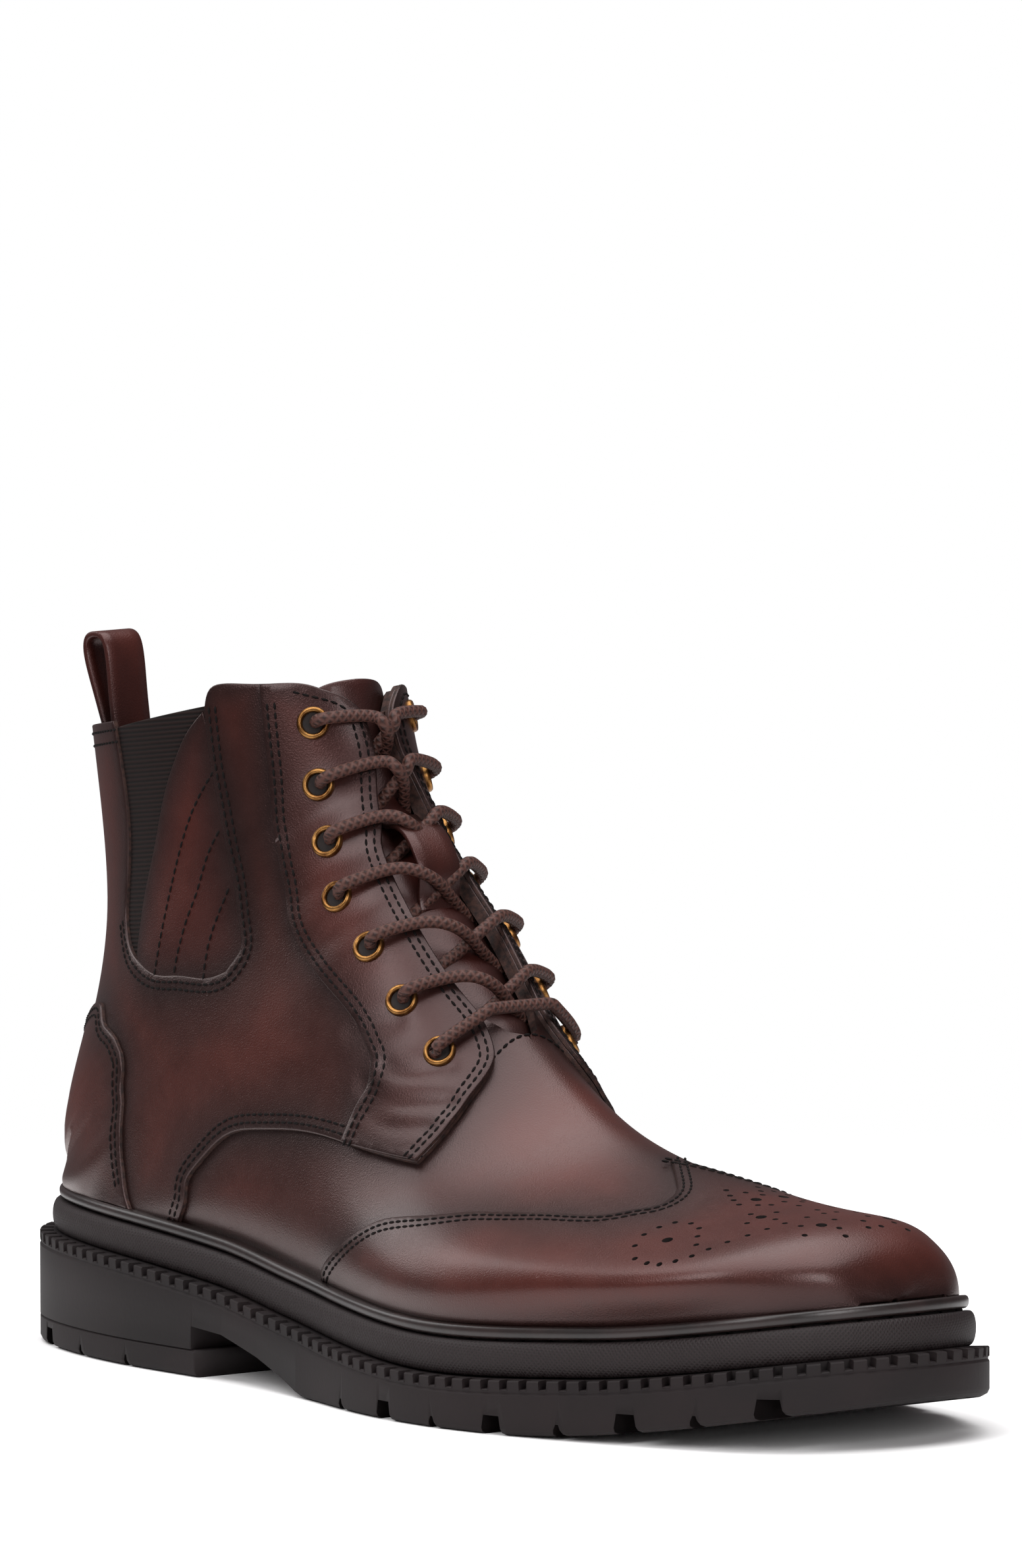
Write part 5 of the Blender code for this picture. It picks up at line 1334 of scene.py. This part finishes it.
def make_laces():
    """The lace: out from under one facing, across the tongue, and down the next eyelet opposite."""
    made = {}
    section, place = EYELETS[0]
    top = STAY_HEIGHT + LACE_RADIUS + 0.0004
    bar = []
    for side in SIDES:
        ends = [
            on_side(section, place, side, -0.002),
            on_side(section + 0.01, place + 0.004, side, top),
            on_side(section + 0.03, edge_place(7.2) - 0.01, side, top + 0.0006),
            on_side(section + 0.05, edge_place(7.2) + 0.03, side, top - 0.0002),
        ]
        bar = bar + ends[::-1] if bar else ends
    made["lace_bar"] = rod("lace_bar_cord", bar, LACE_RADIUS, BRAID)
    for number in range(1, len(EYELETS)):
        start_section, start_place = EYELETS[number - 1]
        end_section, end_place = EYELETS[number]
        strands = []
        for side in SIDES:
            other = -side
            lift = 0.0016 if side < 0 else -0.0008
            leave = start_section + 0.25 * (end_section - start_section)
            first = on_side(start_section, start_place + 0.01, other, -WALL - LACE_RADIUS - 0.0006)
            second = on_side(leave, edge_place(leave) - 0.005, other, -WALL - LACE_RADIUS - 0.0002)
            over = on_side(end_section - 0.10, edge_place(end_section) + 0.004, side, STAY_HEIGHT
                           + LACE_RADIUS + 0.0002)
            above = on_side(end_section - 0.03, (edge_place(end_section) + end_place) / 2, side,
                            STAY_HEIGHT + LACE_RADIUS + 0.0009)
            lip = on_side(end_section, end_place + 0.012, side, STAY_HEIGHT + LACE_RADIUS + 0.0007)
            down = on_side(end_section, end_place, side, -0.0025)
            outward = normal(np.array([end_section]), np.array([1.0]), np.array([1.0]))[0] * (1, 0, 1)
            middle = 0.5 * (second + over) + outward * (0.0026 + lift)
            near = 0.25 * over + 0.75 * second + outward * (0.0012 + lift * 0.6)
            late = 0.75 * over + 0.25 * second + outward * (0.0028 + lift * 0.6)
            route = [first, second, near, middle, late, over, above, lip, down]
            strands.append(rod(f"lace_{number}_{SIDE_NAMES[side]}", route, LACE_RADIUS, BRAID))
        made[f"lace_crossing_{number}"] = strands
    return made


def make_eyelets():
    """Rolled antique brass rings set in the eyestay."""
    turns = np.linspace(0, math.pi, 9)
    ring = (EYELET_OUTER + EYELET_INNER) / 2
    bead = (EYELET_OUTER - EYELET_INNER) / 2
    profile = [(EYELET_INNER, -0.0030)] + [(ring - bead * math.cos(turn), EYELET_HEIGHT * math.sin(turn))
                                           for turn in turns]
    profile += [(EYELET_OUTER, -0.0004), (EYELET_INNER + 0.0003, -0.0004), (EYELET_INNER + 0.0003, -0.0030)]
    sides, made = 40, {}
    for side in SIDES:
        for index, (section, place) in enumerate(EYELETS, 1):
            base = on_side(section, place, side, STAY_HEIGHT)
            out = facing(np.array([section]), np.array([side * place]), False)[0]
            across = np.cross(out, (0.0, 0.0, 1.0))
            across /= np.linalg.norm(across)
            up = np.cross(out, across)
            points, faces, steps = [], [], len(profile)
            for k in range(sides):
                turn = 2 * math.pi * k / sides
                way = across * math.cos(turn) + up * math.sin(turn)
                points += [base + way * radius + out * height for radius, height in profile]
            for k in range(sides):
                for j in range(steps):
                    here, after = k * steps, (k + 1) % sides * steps
                    faces.append((here + j, here + (j + 1) % steps, after + (j + 1) % steps, after + j))
            # A dark disc over the eyelet's hole: painted shade where the hole opens.
            indices = [0] * len(faces) + [1]
            faces.append(tuple(range(len(points), len(points) + sides)))
            around = 2 * math.pi * np.arange(sides) / sides
            points += [base + out * 0.0001 + (across * math.cos(turn) + up * math.sin(turn)) * EYELET_INNER
                       for turn in around]
            word = f"eyelet_{SIDE_NAMES[side]}_{index}"
            made[word] = add_object(word.replace("eyelet", "brass_eyelet"), np.array(points), faces,
                                    [BRASS, HOLE_SHADE], indices, doubles=0)
    return made


def make_tongue():
    """Padded tongue under the throat, its top edge standing over the collar."""
    edge = [(6.70, 0.16), (8.0, 0.17), (9.5, 0.17), (11.5, 0.15), (12.5, 0.14), (12.80, 0.12),
            (12.89, 0.06), (12.91, 0.0)]
    outer = even_line([(section, -across) for section, across in edge], True, STEP)
    inner = even_line(edge, True, STEP)
    foot = even_line([(6.70, 0.16), (6.66, 0.0), (6.70, -0.16)], True, STEP)
    return panel("tongue_leather", joined(outer, inner[::-1], foot), True, TONGUE_LOW, TONGUE_HIGH,
                 [CALF_DARK, CUT_EDGE], steps=(0.1, 0.014), seams=False)


def strap(name, path, width_way, width, thick, finish):
    """A flat strap with soft edges along a path."""
    path = smooth_at(np.array(path), np.linspace(0, len(path) - 1, 8 * (len(path) - 1) + 1))
    ahead = np.gradient(path, axis=0)
    ahead /= np.linalg.norm(ahead, axis=1)[:, None]
    width_way = np.asarray(width_way, float) / np.linalg.norm(width_way)
    out = np.cross(ahead, width_way)
    out /= np.linalg.norm(out, axis=1)[:, None]
    section = [(-0.5, 0.2), (-0.485, 0.0), (-0.25, 0.0), (0.0, 0.0), (0.25, 0.0), (0.485, 0.0), (0.5, 0.2),
               (0.5, 0.8), (0.485, 1.0),
               (0.25, 1.0), (0.0, 1.0), (-0.25, 1.0), (-0.485, 1.0), (-0.5, 0.8)]
    points, faces, count = [], [], len(section)
    for spot_now, way in zip(path, out):
        points += [spot_now + width_way * across * width + way * height * thick for across,
                   height in section]
    for k in range(len(path) - 1):
        for j in range(count):
            faces.append((k * count + j, k * count + (j + 1) % count, (k + 1) * count + (j + 1) % count,
                          (k + 1) * count + j))
    faces.append(tuple(range(count - 1, -1, -1)))
    faces.append(tuple(len(points) - count + k for k in range(count)))
    return add_object(name, np.array(points), faces, finish, doubles=0, sharp=60)


def make_pull_loop():
    """Folded strap standing up from inside the back of the collar and leaning back over it."""
    top = on_side(12.86, 1e-4, 1, -WALL - LOOP_SET)
    route = [(0.0034, -0.0160), (0.0016, -0.0040), (-0.0016, LOOP_RISE * 0.20), (-0.0048, LOOP_RISE * 0.50),
             (-0.0076, LOOP_RISE * 0.80), (-0.0066, LOOP_RISE * 0.98), (-0.0024, LOOP_RISE * 1.03),
             (0.0014, LOOP_RISE * 0.97), (0.0030, LOOP_RISE * 0.76), (0.0036, LOOP_RISE * 0.45),
             (0.0044, LOOP_RISE * 0.12), (0.0050, -0.0060), (0.0060, -0.0160)]
    path = [top + (along, -0.0022 - 0.05 * max(up, 0), up) for along, up in route]
    return strap("pull_loop_leather", path, (-0.12, 1, 0), LOOP_WIDTH, -LOOP_THICK, [CALF_DARK])


def make_keeper():
    """Leather keeper on the tongue that the laces pass through."""
    places = [(8.55, -0.0034), (8.72, -0.0014), (8.92, 0.0022), (9.20, 0.0040), (9.58, 0.0040),
              (9.90, 0.0016), (10.06, -0.0018), (10.25, -0.0034)]
    path = [spot([section], [1e-7], True, np.array([height]))[0] for section, height in places]
    return strap("keeper_leather", path, (0, 1, 0), KEEPER_WIDTH, KEEPER_THICK, [CALF])


def make_insole():
    plain = np.linspace(0, 1, 160, endpoint=False)
    inset = FEATHER_INSET + WALL + 0.0006
    return ring_stack("insole_leather", plain,
                      [(inset + 0.0006, at_share(1.0, GAP)), (inset, at_share(1.0, 0.0018)),
                                                (inset + 0.0008, at_share(1.0, 0.0030))], [SOCK])


# Stage


def area_light(name, place, size, power):
    lamp = bpy.data.lights.new(name, "AREA")
    lamp.shape, lamp.size, lamp.size_y, lamp.energy = "RECTANGLE", size[0], size[1], power
    made = bpy.data.objects.new(name, lamp)
    made.location = place
    made.rotation_euler = (Vector(LIGHT_AIM) - Vector(place)).to_track_quat("-Z", "Y").to_euler()
    bpy.context.scene.collection.objects.link(made)


def make_stage():
    """Pale floor, soft studio light, and the camera at the photograph's angle."""
    work = bmesh.new()
    bmesh.ops.create_circle(work, cap_ends=True, segments=96, radius=FLOOR_RADIUS)
    mesh = bpy.data.meshes.new("floor")
    work.to_mesh(mesh)
    work.free()
    paper, tree, shader = finish_tree("White studio paper")
    fibre = add(tree, "ShaderNodeTexNoise", {"Scale": 30.0})
    tone = add(tree, "ShaderNodeValToRGB", {"Fac": fibre.outputs["Fac"]},
               stops=[(0, linear("#fafafa")), (1, linear("#fdfdfd"))])
    tree.links.new(tone.outputs["Color"], shader.inputs["Base Color"])
    shader.inputs["Roughness"].default_value = 0.9
    shader.inputs["Specular IOR Level"].default_value = 0.1
    place = add(tree, "ShaderNodeTexCoord").outputs["Object"]
    away = add(tree, "ShaderNodeVectorMath", {0: place}, operation="LENGTH").outputs["Value"]
    fade = add(tree, "ShaderNodeMapRange", {"Value": away, 1: FLOOR_PLAIN, 2: FLOOR_RADIUS},
               interpolation_type="SMOOTHSTEP")
    clear = add(tree, "ShaderNodeBsdfTransparent")
    blend = add(tree, "ShaderNodeMixShader",
                {0: fade.outputs[0], 1: shader.outputs[0], 2: clear.outputs[0]})
    tree.links.new(blend.outputs[0], tree.nodes["Material Output"].inputs["Surface"])
    mesh.materials.append(paper)
    floor = bpy.data.objects.new("floor", mesh)
    bpy.context.scene.collection.objects.link(floor)
    world = bpy.data.worlds.new("Studio")
    world.use_nodes = True
    sky = world.node_tree
    room = sky.nodes["Background"]
    room.inputs["Color"].default_value = linear("#ffeef2")
    room.inputs["Strength"].default_value = 0.15
    seen = add(sky, "ShaderNodeBackground", {"Color": linear("#ffffff"), "Strength": 1.0})
    path = add(sky, "ShaderNodeLightPath")
    both = add(sky, "ShaderNodeMixShader",
               {0: path.outputs["Is Camera Ray"], 1: room.outputs[0], 2: seen.outputs[0]})
    sky.links.new(both.outputs[0], sky.nodes["World Output"].inputs["Surface"])
    bpy.context.scene.world = world
    bpy.context.scene.view_settings.view_transform = "Standard"
    for name, light_place, size, power in LIGHTS:
        area_light(name, light_place, size, power)
    camera = bpy.data.cameras.new("camera")
    camera.sensor_fit, camera.sensor_height, camera.lens = "VERTICAL", CAMERA_SENSOR, CAMERA_LENS
    camera.clip_end = 100
    made = bpy.data.objects.new("camera", camera)
    turn, dip, roll = (math.radians(value) for value in CAMERA_TURN_DIP_ROLL)
    ahead = Vector((-math.sin(turn) * math.cos(dip), math.cos(turn) * math.cos(dip), -math.sin(dip)))
    right = Vector((math.cos(turn), math.sin(turn), 0))
    up = right.cross(ahead)
    right, up = right * math.cos(roll) + up * math.sin(roll), up * math.cos(roll) - right * math.sin(roll)
    place = Matrix((right, up, -ahead)).transposed().to_4x4()
    place.translation = CAMERA_PLACE
    made.matrix_world = place
    bpy.context.scene.collection.objects.link(made)
    bpy.context.scene.camera = made


make_stage()
trough_lines()
sole, welt_threads = make_sole()
pieces = {
    "upper": make_upper(),
    "tongue": make_tongue(),
    "insole": make_insole(),
    "pull_loop": make_pull_loop(),
    "lace_keeper": make_keeper(),
}
leathers = make_leather()
elastics = make_elastic()
threads = make_stitches()
for side in SIDES:
    foot = foot_line(TIP_START, HEEL_ROW, side, False)
    SEAM_LINES.append(spot(foot[:, 0], foot[:, 1], False, np.zeros(len(foot))))
for piece in leathers + [pieces["upper"], pieces["tongue"], pieces["pull_loop"], pieces["lace_keeper"]]:
    mark_seams(piece)
laces = make_laces()
eyelets = make_eyelets()

for word, piece in {**sole, **pieces, **eyelets}.items():
    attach(piece, "root")
    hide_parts(word)
for piece in leathers:
    word = piece.name.replace("_leather", "")
    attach(piece, "root")
    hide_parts(word)
for piece in elastics:
    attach(piece, "root")
    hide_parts(piece.name.replace("elastic_", ""))
for piece in (threads, welt_threads):
    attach(piece, "root")
for word, strands in laces.items():
    for strand in strands if isinstance(strands, list) else [strands]:
        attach(strand, "root")
        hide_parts(word)
